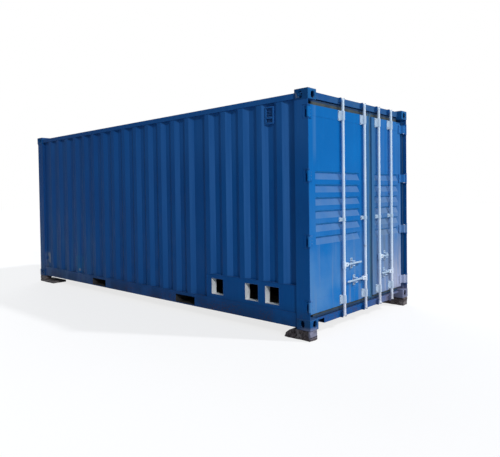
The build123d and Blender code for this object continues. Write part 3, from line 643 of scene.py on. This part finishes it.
def white_paint():
    """White paint of the sleeves, with dirt, rusty edges and a blue outer rim."""
    f = Finish("sleeve_white")
    f.base(WHITE, SLEEVE_DIRT, f.times(f.step(f.noise(18.0, 4.0), 0.50, 0.72), 0.5))
    plate_y = PLATE_IN - SIDE_PLANE
    f.coat(SIDE_BLUE, f.fall(f.y, plate_y + 0.0005, plate_y + 0.0015))
    f.coat(RUST, f.edges(0.003, 0.03, 0.2), f.step(f.noise(60.0, 3.0), 0.50, 0.62), 0.5)
    f.bumps((f.noise(300.0, 1.0), 0.0002),)
    return f.finish(0.5)


def old_rubber():
    """Dusty cracked rubber, with blue overspray along the seam and blue end lips."""
    f = Finish("gasket_rubber")
    dust = f.step(f.noise(7.0, 4.0, stretch=(1.0, 1.0, 0.5)), 0.35, 0.70)
    cracks = f.step(f.noise(120.0, 4.0, stretch=(1.0, 1.0, 0.2)), 0.56, 0.66)
    low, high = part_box("left_door_gasket")
    top_lip = f.step(f.z, high.z - LIP[1], high.z - LIP[0])
    low_lip = f.fall(f.z, low.z + LIP[0], low.z + LIP[1])
    f.base(RUBBER, RUBBER_BROWN, dust)
    f.coat(RUBBER_BLUE, f.band(f.y, *SEAM_SPRAY, 0.006), f.step(dust, 0.0, 1.0, 0.85, 0.5))
    f.coat(LIP_BLUE, f.most(top_lip, low_lip), 0.9)
    f.coat(RUBBER_CRACK, cracks, 0.5)
    f.bumps((cracks, -0.0005), (f.noise(300.0, 1.0), 0.0002))
    return f.finish(0.82, specular=0.25)


def old_timber():
    """Weathered softwood with grain along Y, cracks, pale dry patches and a pale cut end, partly painted
    light.
    """
    f = Finish("weathered_timber")
    grain = f.noise(60.0, 4.0, stretch=(1.0, 0.06, 1.0), distort=0.4)
    broad = f.noise(9.0, 3.0, stretch=(1.0, 0.3, 1.0), shift=3.0)
    cracks = f.step(f.noise(36.0, 2.0, stretch=(1.0, 0.03, 1.0), shift=9.0), 0.62, 0.68)
    f.base(TIMBER_DARK, TIMBER, f.step(grain, 0.30, 0.66))
    f.coat(TIMBER_PALE, f.step(broad, 0.52, 0.74), 0.7)
    # pale end grain of the near block, with painted light on the upper part of its end where the light
    # falls
    x, y, z = CUT_END
    pale_and_lit_cut_end = f.times(f.step(f.x, *x), f.fall(f.y, *y), f.step(f.z, *z))
    f.coat(LILAC_DUST, pale_and_lit_cut_end, f.step(broad, 0.36, 0.60, 0.25, 0.85))
    f.coat(TIMBER_PALE, f.fall(f.x, *FAR_BOARDS, 0.65), f.step(grain, 0.25, 0.60, 0.45, 1.0))
    f.coat(TIMBER_CRACK, cracks, 0.9)
    f.bumps((grain, 0.0015), (cracks, -0.003))
    return f.finish(0.88, specular=0.2)


def floor_board_finish():
    """Plywood with grain along X, worn patches and drag marks."""
    f = Finish("floor_plywood")
    grain = f.noise(50.0, 4.0, stretch=(0.05, 1.0, 1.0), distort=0.3)
    marks = f.step(f.noise(1.0, 3.0, stretch=(1.2, 40.0, 1.0), shift=6.0), 0.64, 0.72)
    f.base(PLYWOOD_DARK, PLYWOOD, f.step(grain, 0.28, 0.66))
    f.coat(PLYWOOD_WORN, f.step(f.noise(2.2, 4.0, shift=4.0), 0.50, 0.72), 0.5)
    f.coat(PLYWOOD_MARK, marks, 0.6)
    f.bumps((grain, 0.0006), (marks, -0.0008))
    return f.finish(0.7, specular=0.3)


def underframe_finish():
    """Dark coating with dust and rust coming through."""
    f = Finish("underframe_coat")
    mottle = f.noise(14.0, 4.0)
    f.base(COATING, COATING_DUSTY, f.step(mottle, 0.42, 0.70))
    f.coat(RUST_DARK, f.step(f.noise(30.0, 3.0), 0.58, 0.72), 0.6)
    f.bumps((mottle, 0.0008),)
    return f.finish(0.75, specular=0.3)


def rubbed_steel():
    """Bare steel of pins and bolt heads, brown in the hollows."""
    f = Finish("rubbed_steel")
    mottle = f.noise(70.0, 4.0)
    rust = f.step(f.noise(34.0, 4.0, shift=3.0), 0.54, 0.70)
    f.base(STEEL_DARK, STEEL, f.step(mottle, 0.35, 0.65))
    f.coat(RUST, rust, 0.7)
    f.bumps((mottle, 0.0003),)
    return f.finish(f.plus(0.42, f.times(rust, 0.35)), metallic=0.5)


side_blues = (SIDE_BLUE, SIDE_DEEP, SIDE_LIGHT)
door_blues = (DOOR_BLUE, DOOR_DEEP, DOOR_LIGHT)
casting_blues = (CASTING_BLUE, CASTING_DEEP, SIDE_LIGHT)
side_paint = weathered_paint("side_paint", side_blues, (fade, marks), wear=0.01, foot_rust=0.6)
door_paint = weathered_paint(
    "door_paint", door_blues, (chalk, door_dirt_and_painted_light), wear=0.02, foot_rust=0.5, low_dust=1.0,
)
casting_paint = weathered_paint("casting_paint", casting_blues, (), wear=0.06, foot_rust=0.9)
zinc = galvanised("zinc_steel")
zinc_with_painted_shade = galvanised("zinc_with_painted_shade", shade_over_all=0.60)
weld_paint = weathered_paint("weld_paint", side_blues, (), wear=-0.40, foot_rust=0.2)
timber = old_timber()
steel = rubbed_steel()
slot_finish = {
    "container_paint": side_paint,
    "door_paint": door_paint,
    "casting_paint": casting_paint,
    "zinc_steel": zinc,
    "white_trim": white_paint(),
    "gasket_rubber": old_rubber(),
    "block_timber": timber,
    "floor_plywood": floor_board_finish(),
    "underframe_coat": underframe_finish(),
}
node_finish = {
    "hinge_lugs": side_paint,
    "left_door_fittings": zinc_with_painted_shade,
    "right_door_fittings": zinc_with_painted_shade,
}
for subpart in frame["record"]["subparts"]:
    mesh = frame["nodes"][subpart["node"]].data
    mesh.materials.clear()
    mesh.materials.append(node_finish.get(subpart["node"], slot_finish[subpart["material_slot"]]))


# Corner castings with rounded edges and rimmed holes
def stadium(length, width, count=10):
    """Outline of a slot, long side first, as pairs."""
    half = width / 2
    flat = length / 2 - half
    points = []
    for step in range(count + 1):
        turn = -math.pi / 2 + math.pi * step / count
        points.append((flat + half * math.cos(turn), half * math.sin(turn)))
    return points + [(-a, -b) for a, b in points]


def slot_cutter(middle, along, across, size, depth):
    """Mesh object that cuts a slot through a face, centred on it."""
    middle, along, across = Vector(middle), Vector(along), Vector(across)
    normal = along.cross(across).normalized()
    bm = bmesh.new()
    outline = [middle + along * a + across * b - normal * depth for a, b in stadium(*size)]
    add_prism(bm, outline, normal * 2 * depth)
    bmesh.ops.recalc_face_normals(bm, faces=bm.faces)
    return bm


def cut_casting(cap_up):
    """Mesh of the casting at +X +Y."""
    low = TOP - CASTING_HEIGHT if cap_up else BASE
    high = low + CASTING_HEIGHT
    cap_z, inward = (high, -1) if cap_up else (low, 1)
    bm = bmesh.new()
    add_box(bm, (FRAME_END, CASTING_INNER, low), (DOOR_PLANE, SIDE_PLANE, high), CASTING_EDGE, 3)
    body = loose_object(bm, "casting_body")
    hole_x, hole_y = DOOR_PLANE - CAP_HOLE_PLACE[0], SIDE_PLANE - CAP_HOLE_PLACE[1]
    hole_z = cap_z + inward * FACE_HOLE_FROM_CAP
    x_axis, y_axis, z_axis = (1, 0, 0), (0, 1, 0), (0, 0, 1)
    holes = (
        ((hole_x, hole_y, cap_z), x_axis, y_axis, CAP_HOLE, CASTING_CAP + CUT_OVER),
        ((hole_x, SIDE_PLANE, hole_z), z_axis, x_axis, SIDE_HOLE, CASTING_WALL + CUT_OVER),
        ((DOOR_PLANE, hole_y, hole_z), z_axis, y_axis, END_HOLE, CASTING_WALL + CUT_OVER),
    )
    cutters = []
    cavity_z = sorted((cap_z + inward * CASTING_CAP, cap_z + inward * (CASTING_HEIGHT - CASTING_BACK)))
    bm = bmesh.new()
    cavity_low = (FRAME_END + CASTING_BACK, CASTING_INNER + CASTING_BACK, cavity_z[0])
    cavity_high = (DOOR_PLANE - CASTING_WALL, SIDE_PLANE - CASTING_WALL, cavity_z[1])
    add_box(bm, cavity_low, cavity_high, CAVITY_EDGE)
    cutters.append(bm)
    for middle, along, across, size, depth in holes:
        cutters.append(slot_cutter(middle, along, across, size, depth))
        rim = (size[0] + 2 * HOLE_RIM, size[1] + 2 * HOLE_RIM)
        cutters.append(slot_cutter(middle, along, across, rim, HOLE_RIM))
    for number, cutter in enumerate(cutters):
        cutting = loose_object(cutter, "casting_cutter_%d" % number)
        modifier = body.modifiers.new("cut", "BOOLEAN")
        modifier.operation = "DIFFERENCE"
        modifier.solver = "EXACT"
        modifier.object = cutting
        cutting.hide_render = True
    shaped = body.evaluated_get(bpy.context.evaluated_depsgraph_get())
    bm = bmesh.new()
    bm.from_mesh(shaped.to_mesh())
    for scratch in [body] + [modifier.object for modifier in body.modifiers]:
        bpy.data.objects.remove(scratch)
    return bm


def corner_castings(name, node, cap_up):
    """The four castings of one level, as one piece."""
    corner = cut_casting(cap_up)
    mesh = bpy.data.meshes.new(name + "_corner")
    corner.to_mesh(mesh)
    corner.free()
    bm = bmesh.new()
    for side_x in (1, -1):
        for side_y in (1, -1):
            start = len(bm.verts)
            bm.from_mesh(mesh)
            bm.verts.ensure_lookup_table()
            moved = bm.verts[start:]
            bmesh.ops.transform(bm, matrix=Matrix.Diagonal((side_x, side_y, 1.0, 1.0)), verts=moved)
            if side_x * side_y < 0:
                faces = {face for vert in moved for face in vert.link_faces}
                bmesh.ops.reverse_faces(bm, faces=list(faces))
    bpy.data.meshes.remove(mesh)
    piece = smooth_mesh(bm, name, casting_paint, "container")
    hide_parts(node)


corner_castings("cast_corners_top", "corner_castings_top", True)
corner_castings("cast_corners_bottom", "corner_castings_bottom", False)


# Bars, brackets, catches and handles
def bar_line(number):
    """Axis of a locking bar: x and y."""
    low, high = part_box("locking_bar_%d" % number)
    middle = (low + high) / 2
    return middle.x, middle.y


bar_lines = [bar_line(number) for number in range(1, 5)]
leaf_bars = {"left": (0, 1), "right": (2, 3)}


def handle_tip(bar):
    """Far end of a handle along Y, and the way it points."""
    low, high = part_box("bar_handle_%d" % (bar + 1))
    y = bar_lines[bar][1]
    return (high.y, 1.0) if high.y - y > y - low.y else (low.y, -1.0)


HUB_TALL = 0.076
HUB_RIM = (0.004, 0.003)
CHEEK_LENGTH = (0.008, 0.085)
CHEEK_TALL = 0.046
CHEEK_THICK = 0.006
CHEEK_GAP = 0.0005
LEVER_START = 0.024
LEVER_STEPS = 28
LEVER_SIDES = 12
LEVER_FIT = 0.84
LEVER_ROUND = 0.95
LEVER_BEND = 0.004
PIVOT_PLACE = 0.043
PIVOT_SIZE = 0.009


def lever_section(share):
    """Half height, half thickness and bend of a lever at a share of its length."""
    half = HANDLE_TALL / 2 * (1.0 - 0.22 * min(1.0, share * 2.2))
    half *= 1.0 + 0.14 * max(0.0, share - 0.62) / 0.38
    thick = HANDLE_THICK / 2
    if share > LEVER_ROUND:
        rounding = math.sqrt(max(0.02, 1.0 - (share - LEVER_ROUND) ** 2 / (1.0 - LEVER_ROUND) ** 2))
        half *= rounding
        thick *= rounding
    return half * LEVER_FIT, thick * LEVER_FIT, LEVER_BEND * max(0.0, share - 0.55)


def rounded_square(turn):
    """Point of a square with round corners at an angle."""
    across, up = math.cos(turn), math.sin(turn)
    return math.copysign(abs(across) ** 0.5, across), math.copysign(abs(up) ** 0.5, up)


def forged_lever(x, start, z, tip):
    """Lever along Y, from its foot to its tip."""
    bm = bmesh.new()
    rings = []
    for step in range(LEVER_STEPS + 1):
        share = step / LEVER_STEPS
        half, thick, bend = lever_section(share)
        y = start + share * (tip - start)
        corners = [rounded_square(math.tau * side / LEVER_SIDES) for side in range(LEVER_SIDES)]
        rings.append([bm.verts.new((x + bend + a * thick, y, z + b * half)) for a, b in corners])
    skin(bm, rings)
    return bm


def handle(bar):
    """Forged lever between two cheeks on a hub round the bar."""
    x, y = bar_lines[bar]
    z = BASE + HANDLE_HEIGHTS[bar]
    tip, way = handle_tip(bar)
    body = "bar_%d" % (bar + 1)
    bm = bmesh.new()
    hub = BAR_RADIUS + HUB_WALL
    rim, rim_in = HUB_RIM
    add_round(bm, (x, y, z), (0, 0, 1), hub, HUB_TALL, 28)
    for end in (-1, 1):
        rim_z = z + end * (HUB_TALL / 2 + 0.001)
        add_round(bm, (x, y, rim_z), (0, 0, end), hub, rim, 28, hub - rim_in)
    cheek_y = sorted(y + way * reach for reach in CHEEK_LENGTH)
    for side in (-1, 1):
        face = x + side * (HANDLE_THICK / 2 + CHEEK_GAP + CHEEK_THICK / 2)
        low = (face - CHEEK_THICK / 2, cheek_y[0], z - CHEEK_TALL / 2)
        high = (face + CHEEK_THICK / 2, cheek_y[1], z + CHEEK_TALL / 2)
        add_box(bm, low, high, 0.0025)
    smooth_mesh(bm, "handle_hub_%d" % (bar + 1), zinc, body)
    bm = forged_lever(x, y + way * LEVER_START, z, tip)
    lever = smooth_mesh(bm, "handle_lever_%d" % (bar + 1), zinc, body, 50.0)
    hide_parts("bar_handle_%d" % (bar + 1))
    bm = bmesh.new()
    cheek_x = HANDLE_THICK / 2 + CHEEK_GAP + CHEEK_THICK
    pivot_y = y + way * PIVOT_PLACE
    add_bolt(bm, (x + cheek_x, pivot_y, z), (1, 0, 0), PIVOT_SIZE)
    add_rivet(bm, (x - cheek_x, pivot_y, z), (-1, 0, 0), PIVOT_SIZE)
    smooth_mesh(bm, "handle_pivot_%d" % (bar + 1), steel, body)


BRACKET_BOLT_IN = (0.0085, 0.016)
TWO_ROWS_FROM = 0.08
CATCH_BOLT = 0.0085
CATCH_BOLT_IN = 0.014


def leaf_bolts(side):
    """Bolt heads on the brackets and catches of one leaf."""
    bm = bmesh.new()
    plate_x = LEAF_X + BRACKET_PLATE
    for bar in leaf_bars[side]:
        y = bar_lines[bar][1]
        for height_up, tall in zip(BRACKET_HEIGHTS, BRACKET_TALLS):
            half_wide = BRACKET_WIDE / 2 - BRACKET_BOLT_IN[0]
            half_tall = tall / 2 - BRACKET_BOLT_IN[1]
            for across in (-1, 1):
                for row in (-1, 1) if tall > TWO_ROWS_FROM else (0,):
                    foot = (plate_x, y + across * half_wide, BASE + height_up + row * half_tall)
                    add_bolt(bm, foot, (1, 0, 0), BRACKET_BOLT)
        catch_y = y + (handle_tip(bar)[0] - y) * CATCH_SHARES[bar]
        for row in (-1, 1):
            z = BASE + HANDLE_HEIGHTS[bar] + row * (CATCH_TALL / 2 - CATCH_BOLT_IN)
            add_bolt(bm, (plate_x, catch_y, z), (1, 0, 0), CATCH_BOLT)
    smooth_mesh(bm, side + "_fitting_bolts", steel, side + "_door")


for bar in range(4):
    handle(bar)
for side in leaf_bars:
    leaf_bolts(side)


# Hinge pin heads and blade bolts
PIN_HEAD = (0.0100, 0.0075, 0.006)
BLADE_RIVET = 0.0085
BLADE_RIVETS_IN = 0.122
BLADE_RIVET_PITCH = 0.036
BLADE_THICK = 0.010


def hinge_details():
    """Heads of the hinge pins and rivets of the hinge blades."""
    foot_radius, top_radius, tall = PIN_HEAD
    pins = bmesh.new()
    for sense in (-1, 1):
        for height_up in HINGE_HEIGHTS:
            for end in (-1, 1):
                z = BASE + height_up + end * (LUG_REACH + tall / 2)
                middle = (DOOR_PLANE - PIN_IN, sense * (SIDE_PLANE - PIN_IN), z)
                add_round(pins, middle, (0, 0, end), foot_radius, tall, 20, top_radius)
    smooth_mesh(pins, "hinge_pin_heads", side_paint)
    for side, sense in (("left", -1), ("right", 1)):
        bolts = bmesh.new()
        for height_up in HINGE_HEIGHTS:
            for row in (-1, 0, 1):
                z = BASE + height_up + row * BLADE_RIVET_PITCH
                foot = (LEAF_X + BLADE_THICK, sense * (SIDE_PLANE - BLADE_RIVETS_IN), z)
                add_rivet(bolts, foot, (1, 0, 0), BLADE_RIVET)
        smooth_mesh(bolts, side + "_blade_bolts", door_paint, side + "_door")


hinge_details()


# Ventilator covers: a box with a tall and a short opening and slats inside
VENT_DEEP = 0.031
VENT_RIM = 0.015
VENT_EDGE = 0.002
VENT_BACK_IN = 0.01
SHORT_OPENING = (0.020, 0.062)
TALL_OPENING = (0.082, 0.018)
SLAT_PITCH = 0.021
SLAT_SECTION = ((0.012, -0.006), (0.012, -0.0045), (0.024, 0.006), (0.024, 0.0045))
VENT_RIVET = 0.004
VENT_RIVET_IN = 0.008
VENT_RIVET_SUNK = 0.0008


def vent_covers():
    """Covers of the ventilators with their slats and rivets."""
    low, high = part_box("ventilators")
    covers, insides, rivets = bmesh.new(), bmesh.new(), bmesh.new()
    corners = [vert.co for vert in frame["nodes"]["ventilators"].data.vertices]
    short = (low.z + SHORT_OPENING[0], low.z + SHORT_OPENING[1])
    tall = (low.z + TALL_OPENING[0], high.z - TALL_OPENING[1])
    for sense in (-1, 1):
        places = [corner.x for corner in corners if corner.y * sense > 0]
        start, end = min(places), max(places)
        inner_start, inner_end = start + VENT_RIM, end - VENT_RIM
        outer = sense * max(abs(low.y), abs(high.y))
        back = outer - sense * VENT_DEEP
        near, far = sorted((outer, back))
        for side in ((start, inner_start), (inner_end, end)):
            add_box(covers, (side[0], near, low.z), (side[1], far, high.z), VENT_EDGE)
        for bottom, top in ((low.z, short[0]), (short[1], tall[0]), (tall[1], high.z)):
            add_box(covers, (inner_start, near, bottom), (inner_end, far, top), VENT_EDGE)
        near, far = sorted((back, back + sense * VENT_EDGE))
        back_low = (inner_start, near, low.z + VENT_BACK_IN)
        add_box(insides, back_low, (inner_end, far, high.z - VENT_BACK_IN))
        for bottom, top in (short, tall):
            slats = max(2, round((top - bottom) / SLAT_PITCH))
            for slat in range(slats):
                z = bottom + (top - bottom) * (slat + 0.5) / slats
                outline = [(inner_start, outer - sense * deep, z + rise) for deep, rise in SLAT_SECTION]
                add_prism(insides, outline, (inner_end - inner_start, 0.0, 0.0))
        for x in (start + VENT_RIM / 2, end - VENT_RIM / 2):
            for z in (low.z + VENT_RIVET_IN, (low.z + high.z) / 2, high.z - VENT_RIVET_IN):
                add_rivet(rivets, (x, outer - sense * VENT_RIVET_SUNK, z), (0, sense, 0), VENT_RIVET)
    bmesh.ops.recalc_face_normals(insides, faces=insides.faces)
    cover = smooth_mesh(covers, "vent_covers", side_paint)
    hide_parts("ventilators")
    smooth_mesh(insides, "vent_slats", side_paint)
    smooth_mesh(rivets, "vent_rivets", side_paint)


vent_covers()


# Timber with uneven edges
WORN_LENGTH = 0.115
WORN_DROP = 0.066
WORN_FOOT = 0.024
TIMBER_CUTS = 7
WAVES = 14.0
SPLINTERS = 55.0


def worn_end(vert, low, high):
    """Wears the upper edge of the near block's inner end to a slope."""
    share = min(1.0, max(0.0, (low.x + WORN_LENGTH - vert.co.x) / WORN_LENGTH))
    up = (vert.co.z - low.z) / (high.z - low.z)
    vert.co.z -= WORN_DROP * share ** 1.7 * up
    vert.co.x -= WORN_FOOT * share * (1.0 - 0.8 * up)


def rough_timber(name, node, jitter, rounding, seed):
    """Worn timbers that stand for the plain blocks of a node."""
    source = bmesh.new()
    source.from_mesh(frame["nodes"][node].data)
    bmesh.ops.remove_doubles(source, verts=source.verts, dist=0.0001)
    islands, seen = [], set()
    for vert in source.verts:
        if vert in seen:
            continue
        stack, island = [vert], []
        while stack:
            found = stack.pop()
            if found in seen:
                continue
            seen.add(found)
            island.append(found.co.copy())
            stack += [edge.other_vert(found) for edge in found.link_edges]
        islands.append(island)
    source.free()
    bm = bmesh.new()
    for number, island in enumerate(islands):
        low = Vector([min(co[axis] for co in island) for axis in range(3)])
        high = Vector([max(co[axis] for co in island) for axis in range(3)])
        block = bmesh.new()
        add_box(block, low, high, rounding, 2)
        bmesh.ops.subdivide_edges(block, edges=block.edges, cuts=TIMBER_CUTS, use_grid_fill=True)
        shift = Vector((seed + number * 3.1, 0.0, 0.0))
        for vert in block.verts:
            pull = noise.noise_vector(vert.co * WAVES + shift) * jitter
            pull += noise.noise_vector(vert.co * SPLINTERS + shift) * jitter * 0.35
            moved = vert.co + pull
            for axis in range(3):
                moved[axis] = min(max(moved[axis], low[axis]), high[axis])
            if min(vert.co.z - low.z, high.z - vert.co.z) < 1e-5:
                moved.z = vert.co.z
            vert.co = moved
            if node == "timber_blocks" and high.x > 0.0 > low.y:
                worn_end(vert, low, high)
        mesh = bpy.data.meshes.new("timber_scratch")
        block.to_mesh(mesh)
        block.free()
        bm.from_mesh(mesh)
        bpy.data.meshes.remove(mesh)
    piece = smooth_mesh(bm, name, timber, "container", 55.0)
    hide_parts(node)


rough_timber("worn_blocks", "timber_blocks", 0.009, 0.014, 2.0)
rough_timber("worn_boards", "packing_boards", 0.005, 0.005, 8.0)


# Weld beads
FRAME_BEAD = 0.0032
CASTING_BEAD_ENDS = (FRAME_END + 0.004, DOOR_PLANE - 0.010)
RAIL_BEAD_Y = SIDE_PLANE - 0.014
RAIL_BEADS = ((BASE + 0.016, BASE + CASTING_HEIGHT), (TOP - 0.096, TOP - 0.040))
WALL_END_Y = SIDE_PLANE - WALL_IN - 0.003
WALL_END_BEAD = (BASE + 0.180, TOP - 0.104)
NOTCH_BEAD_Y = SIDE_PLANE - 0.0075
NOTCH_BEAD_X = (DOOR_PLANE - 0.079, DOOR_PLANE - 0.006)
NOTCH_GAP = 0.003
WALL_BEAD = (0.0026, 0.020)
PLATE_BEAD = (0.0030, 0.014)
BEAD_SUNK = 0.002


def corner_beads(bm, sense_x, sense_y):
    """Beads of one corner: on its castings, the ends of its rails and the end of its wall."""
    inner = sense_x * FRAME_END
    side_y = sense_y * (SIDE_PLANE - POST_IN)
    for z in (BASE + CASTING_HEIGHT, TOP - CASTING_HEIGHT):
        add_bead(bm, [(sense_x * x, side_y, z) for x in CASTING_BEAD_ENDS], FRAME_BEAD)
    for ends in RAIL_BEADS:
        add_bead(bm, [(inner, sense_y * RAIL_BEAD_Y, z) for z in ends], FRAME_BEAD)
    add_bead(bm, [(inner, sense_y * WALL_END_Y, z) for z in WALL_END_BEAD], FRAME_BEAD)


def frame_welds():
    """Beads round the castings, along the posts and over the gaps at the post notches."""
    bm = bmesh.new()
    for sense_x in (-1, 1):
        for sense_y in (-1, 1):
            corner_beads(bm, sense_x, sense_y)
    for sense_y in (-1, 1):
        for height_up in HINGE_HEIGHTS:
            for end in (-1, 1):
                z = BASE + height_up + end * (LUG_REACH + NOTCH_GAP / 2)
                add_bead(bm, [(x, sense_y * NOTCH_BEAD_Y, z) for x in NOTCH_BEAD_X], FRAME_BEAD)
    smooth_mesh(bm, "frame_welds", weld_paint, angle=60.0)


def wall_profile(node, sense):
    """Outer line of a wall sheet in plan, read at its top edge."""
    corners = [vert.co for vert in frame["nodes"][node].data.vertices]
    top = max(corner.z for corner in corners)
    outer = {}
    for corner in sorted(corners, key=lambda place: place.y * sense):
        if corner.z > top - 0.001:
            outer[round(corner.x, 3)] = corner.y
    return sorted(outer.items())


def wall_welds():
    """Beads where the corrugated walls meet the rails."""
    bm = bmesh.new()
    walls = (("side_wall_left_front", -1), ("side_wall_left_rear", -1), ("side_wall_right", 1))
    for node, sense in walls:
        low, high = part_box(node)
        line = wall_profile(node, sense)
        add_bead(bm, [(x, y, high.z - BEAD_SUNK) for x, y in line], *WALL_BEAD)
        if node != "side_wall_left_rear":
            add_bead(bm, [(x, y, low.z + BEAD_SUNK) for x, y in line], *WALL_BEAD)
    low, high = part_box("opening_plate")
    corners = ((low.x, low.z + 0.003), (low.x, high.z), (high.x, high.z))
    add_bead(bm, [(x, low.y + BEAD_SUNK, z) for x, z in corners], *PLATE_BEAD)
    smooth_mesh(bm, "wall_welds", weld_paint, angle=60.0)


frame_welds()
wall_welds()


# Screws in the floor
SCREW_PITCH = 0.305
SCREW_COLUMNS = 10
SCREW_START = 0.06
SCREW_EDGE = 0.05
SCREW_HEAD = (0.006, 0.0012)


def floor_screws():
    """Rows of screw heads across the floor."""
    bm = bmesh.new()
    low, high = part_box("floor_boards")
    radius, tall = SCREW_HEAD
    rows = int((high.x - low.x - 2 * SCREW_EDGE) // SCREW_PITCH)
    for row in range(rows + 1):
        x = low.x + SCREW_START + row * SCREW_PITCH
        for column in range(SCREW_COLUMNS):
            y = low.y + SCREW_EDGE + (high.y - low.y - 2 * SCREW_EDGE) * column / (SCREW_COLUMNS - 1)
            head = (x + random.uniform(-0.003, 0.003), y, high.z + 0.0004)
            add_round(bm, head, (0, 0, 1), radius, tall, 8)
    smooth_mesh(bm, "floor_screws", steel, "container")


floor_screws()


# Stage, light and camera
def plain_shader(nodes, kind, colour, strength=None):
    """Shader node of one colour."""
    node = nodes.new(kind)
    node.inputs["Color"].default_value = (*colour, 1.0)
    if strength is not None:
        node.inputs["Strength"].default_value = strength
    return node.outputs[0]


def stage_floor():
    """Floor that looks pale to the camera and in gloss, and keeps the shadow."""
    bm = bmesh.new()
    bmesh.ops.create_grid(bm, x_segments=1, y_segments=1, size=FLOOR_HALF)
    floor = loose_object(bm, "studio_floor")
    material = bpy.data.materials.new("studio_floor")
    material.use_nodes = True
    nodes, links = material.node_tree.nodes, material.node_tree.links
    nodes.clear()
    bright = nodes.new("ShaderNodeAddShader")
    path = nodes.new("ShaderNodeLightPath")
    seen = nodes.new("ShaderNodeMath")
    seen.operation = "MAXIMUM"
    choose = nodes.new("ShaderNodeMixShader")
    out = nodes.new("ShaderNodeOutputMaterial")
    links.new(plain_shader(nodes, "ShaderNodeBsdfDiffuse", FLOOR_SHOWN), bright.inputs[0])
    links.new(plain_shader(nodes, "ShaderNodeEmission", PURE_WHITE, FLOOR_GLOW), bright.inputs[1])
    links.new(path.outputs["Is Camera Ray"], seen.inputs[0])
    links.new(path.outputs["Is Glossy Ray"], seen.inputs[1])
    links.new(seen.outputs[0], choose.inputs[0])
    links.new(plain_shader(nodes, "ShaderNodeBsdfDiffuse", FLOOR_BOUNCE), choose.inputs[1])
    links.new(bright.outputs[0], choose.inputs[2])
    links.new(choose.outputs[0], out.inputs["Surface"])
    floor.data.materials.append(material)


def sky():
    """World that looks white to the camera and lights the object softly."""
    world = bpy.data.worlds.new("studio")
    bpy.context.scene.world = world
    world.use_nodes = True
    nodes, links = world.node_tree.nodes, world.node_tree.links
    nodes.clear()
    path = nodes.new("ShaderNodeLightPath")
    choose = nodes.new("ShaderNodeMixShader")
    out = nodes.new("ShaderNodeOutputWorld")
    links.new(path.outputs["Is Camera Ray"], choose.inputs[0])
    links.new(plain_shader(nodes, "ShaderNodeBackground", SKY_COLOUR, SKY_STRENGTH), choose.inputs[1])
    links.new(plain_shader(nodes, "ShaderNodeBackground", PURE_WHITE, 1.0), choose.inputs[2])
    links.new(choose.outputs[0], out.inputs["Surface"])


def sun(name, azimuth, height_angle, strength, width):
    """Sun lamp that shines from a compass direction and height."""
    data = bpy.data.lights.new(name, "SUN")
    data.energy = strength
    data.angle = math.radians(width)
    lamp = bpy.data.objects.new(name, data)
    azimuth, height_angle = math.radians(azimuth), math.radians(height_angle)
    towards = Vector((
        math.cos(height_angle) * math.cos(azimuth),
        math.cos(height_angle) * math.sin(azimuth),
        math.sin(height_angle),
    ))
    lamp.rotation_mode = "QUATERNION"
    lamp.rotation_quaternion = towards.to_track_quat("Z", "Y")
    lamp.location = towards * 12
    bpy.context.scene.collection.objects.link(lamp)


def camera():
    """Camera of the photograph."""
    data = bpy.data.cameras.new("photo_camera")
    data.sensor_width = 36.0
    data.lens = CAMERA_LENS
    data.shift_x, data.shift_y = CAMERA_SHIFT
    data.clip_end = 300.0
    view = bpy.data.objects.new("photo_camera", data)
    turn, tilt = CAMERA_TURN, CAMERA_TILT
    back = Vector((math.sin(turn) * math.cos(tilt), -math.cos(turn) * math.cos(tilt), math.sin(tilt)))
    level = Vector((math.cos(turn), math.sin(turn), 0.0))
    upright = back.cross(level)
    right = math.cos(CAMERA_ROLL) * level + math.sin(CAMERA_ROLL) * upright
    up = math.cos(CAMERA_ROLL) * upright - math.sin(CAMERA_ROLL) * level
    axes = Matrix((right, up, back)).transposed().to_4x4()
    view.matrix_world = Matrix.Translation(CAMERA_PLACE) @ axes
    bpy.context.scene.collection.objects.link(view)
    bpy.context.scene.camera = view


stage_floor()
sky()
for lamp in SUNS:
    sun(*lamp)
camera()
bpy.context.scene.view_settings.view_transform = "Standard"
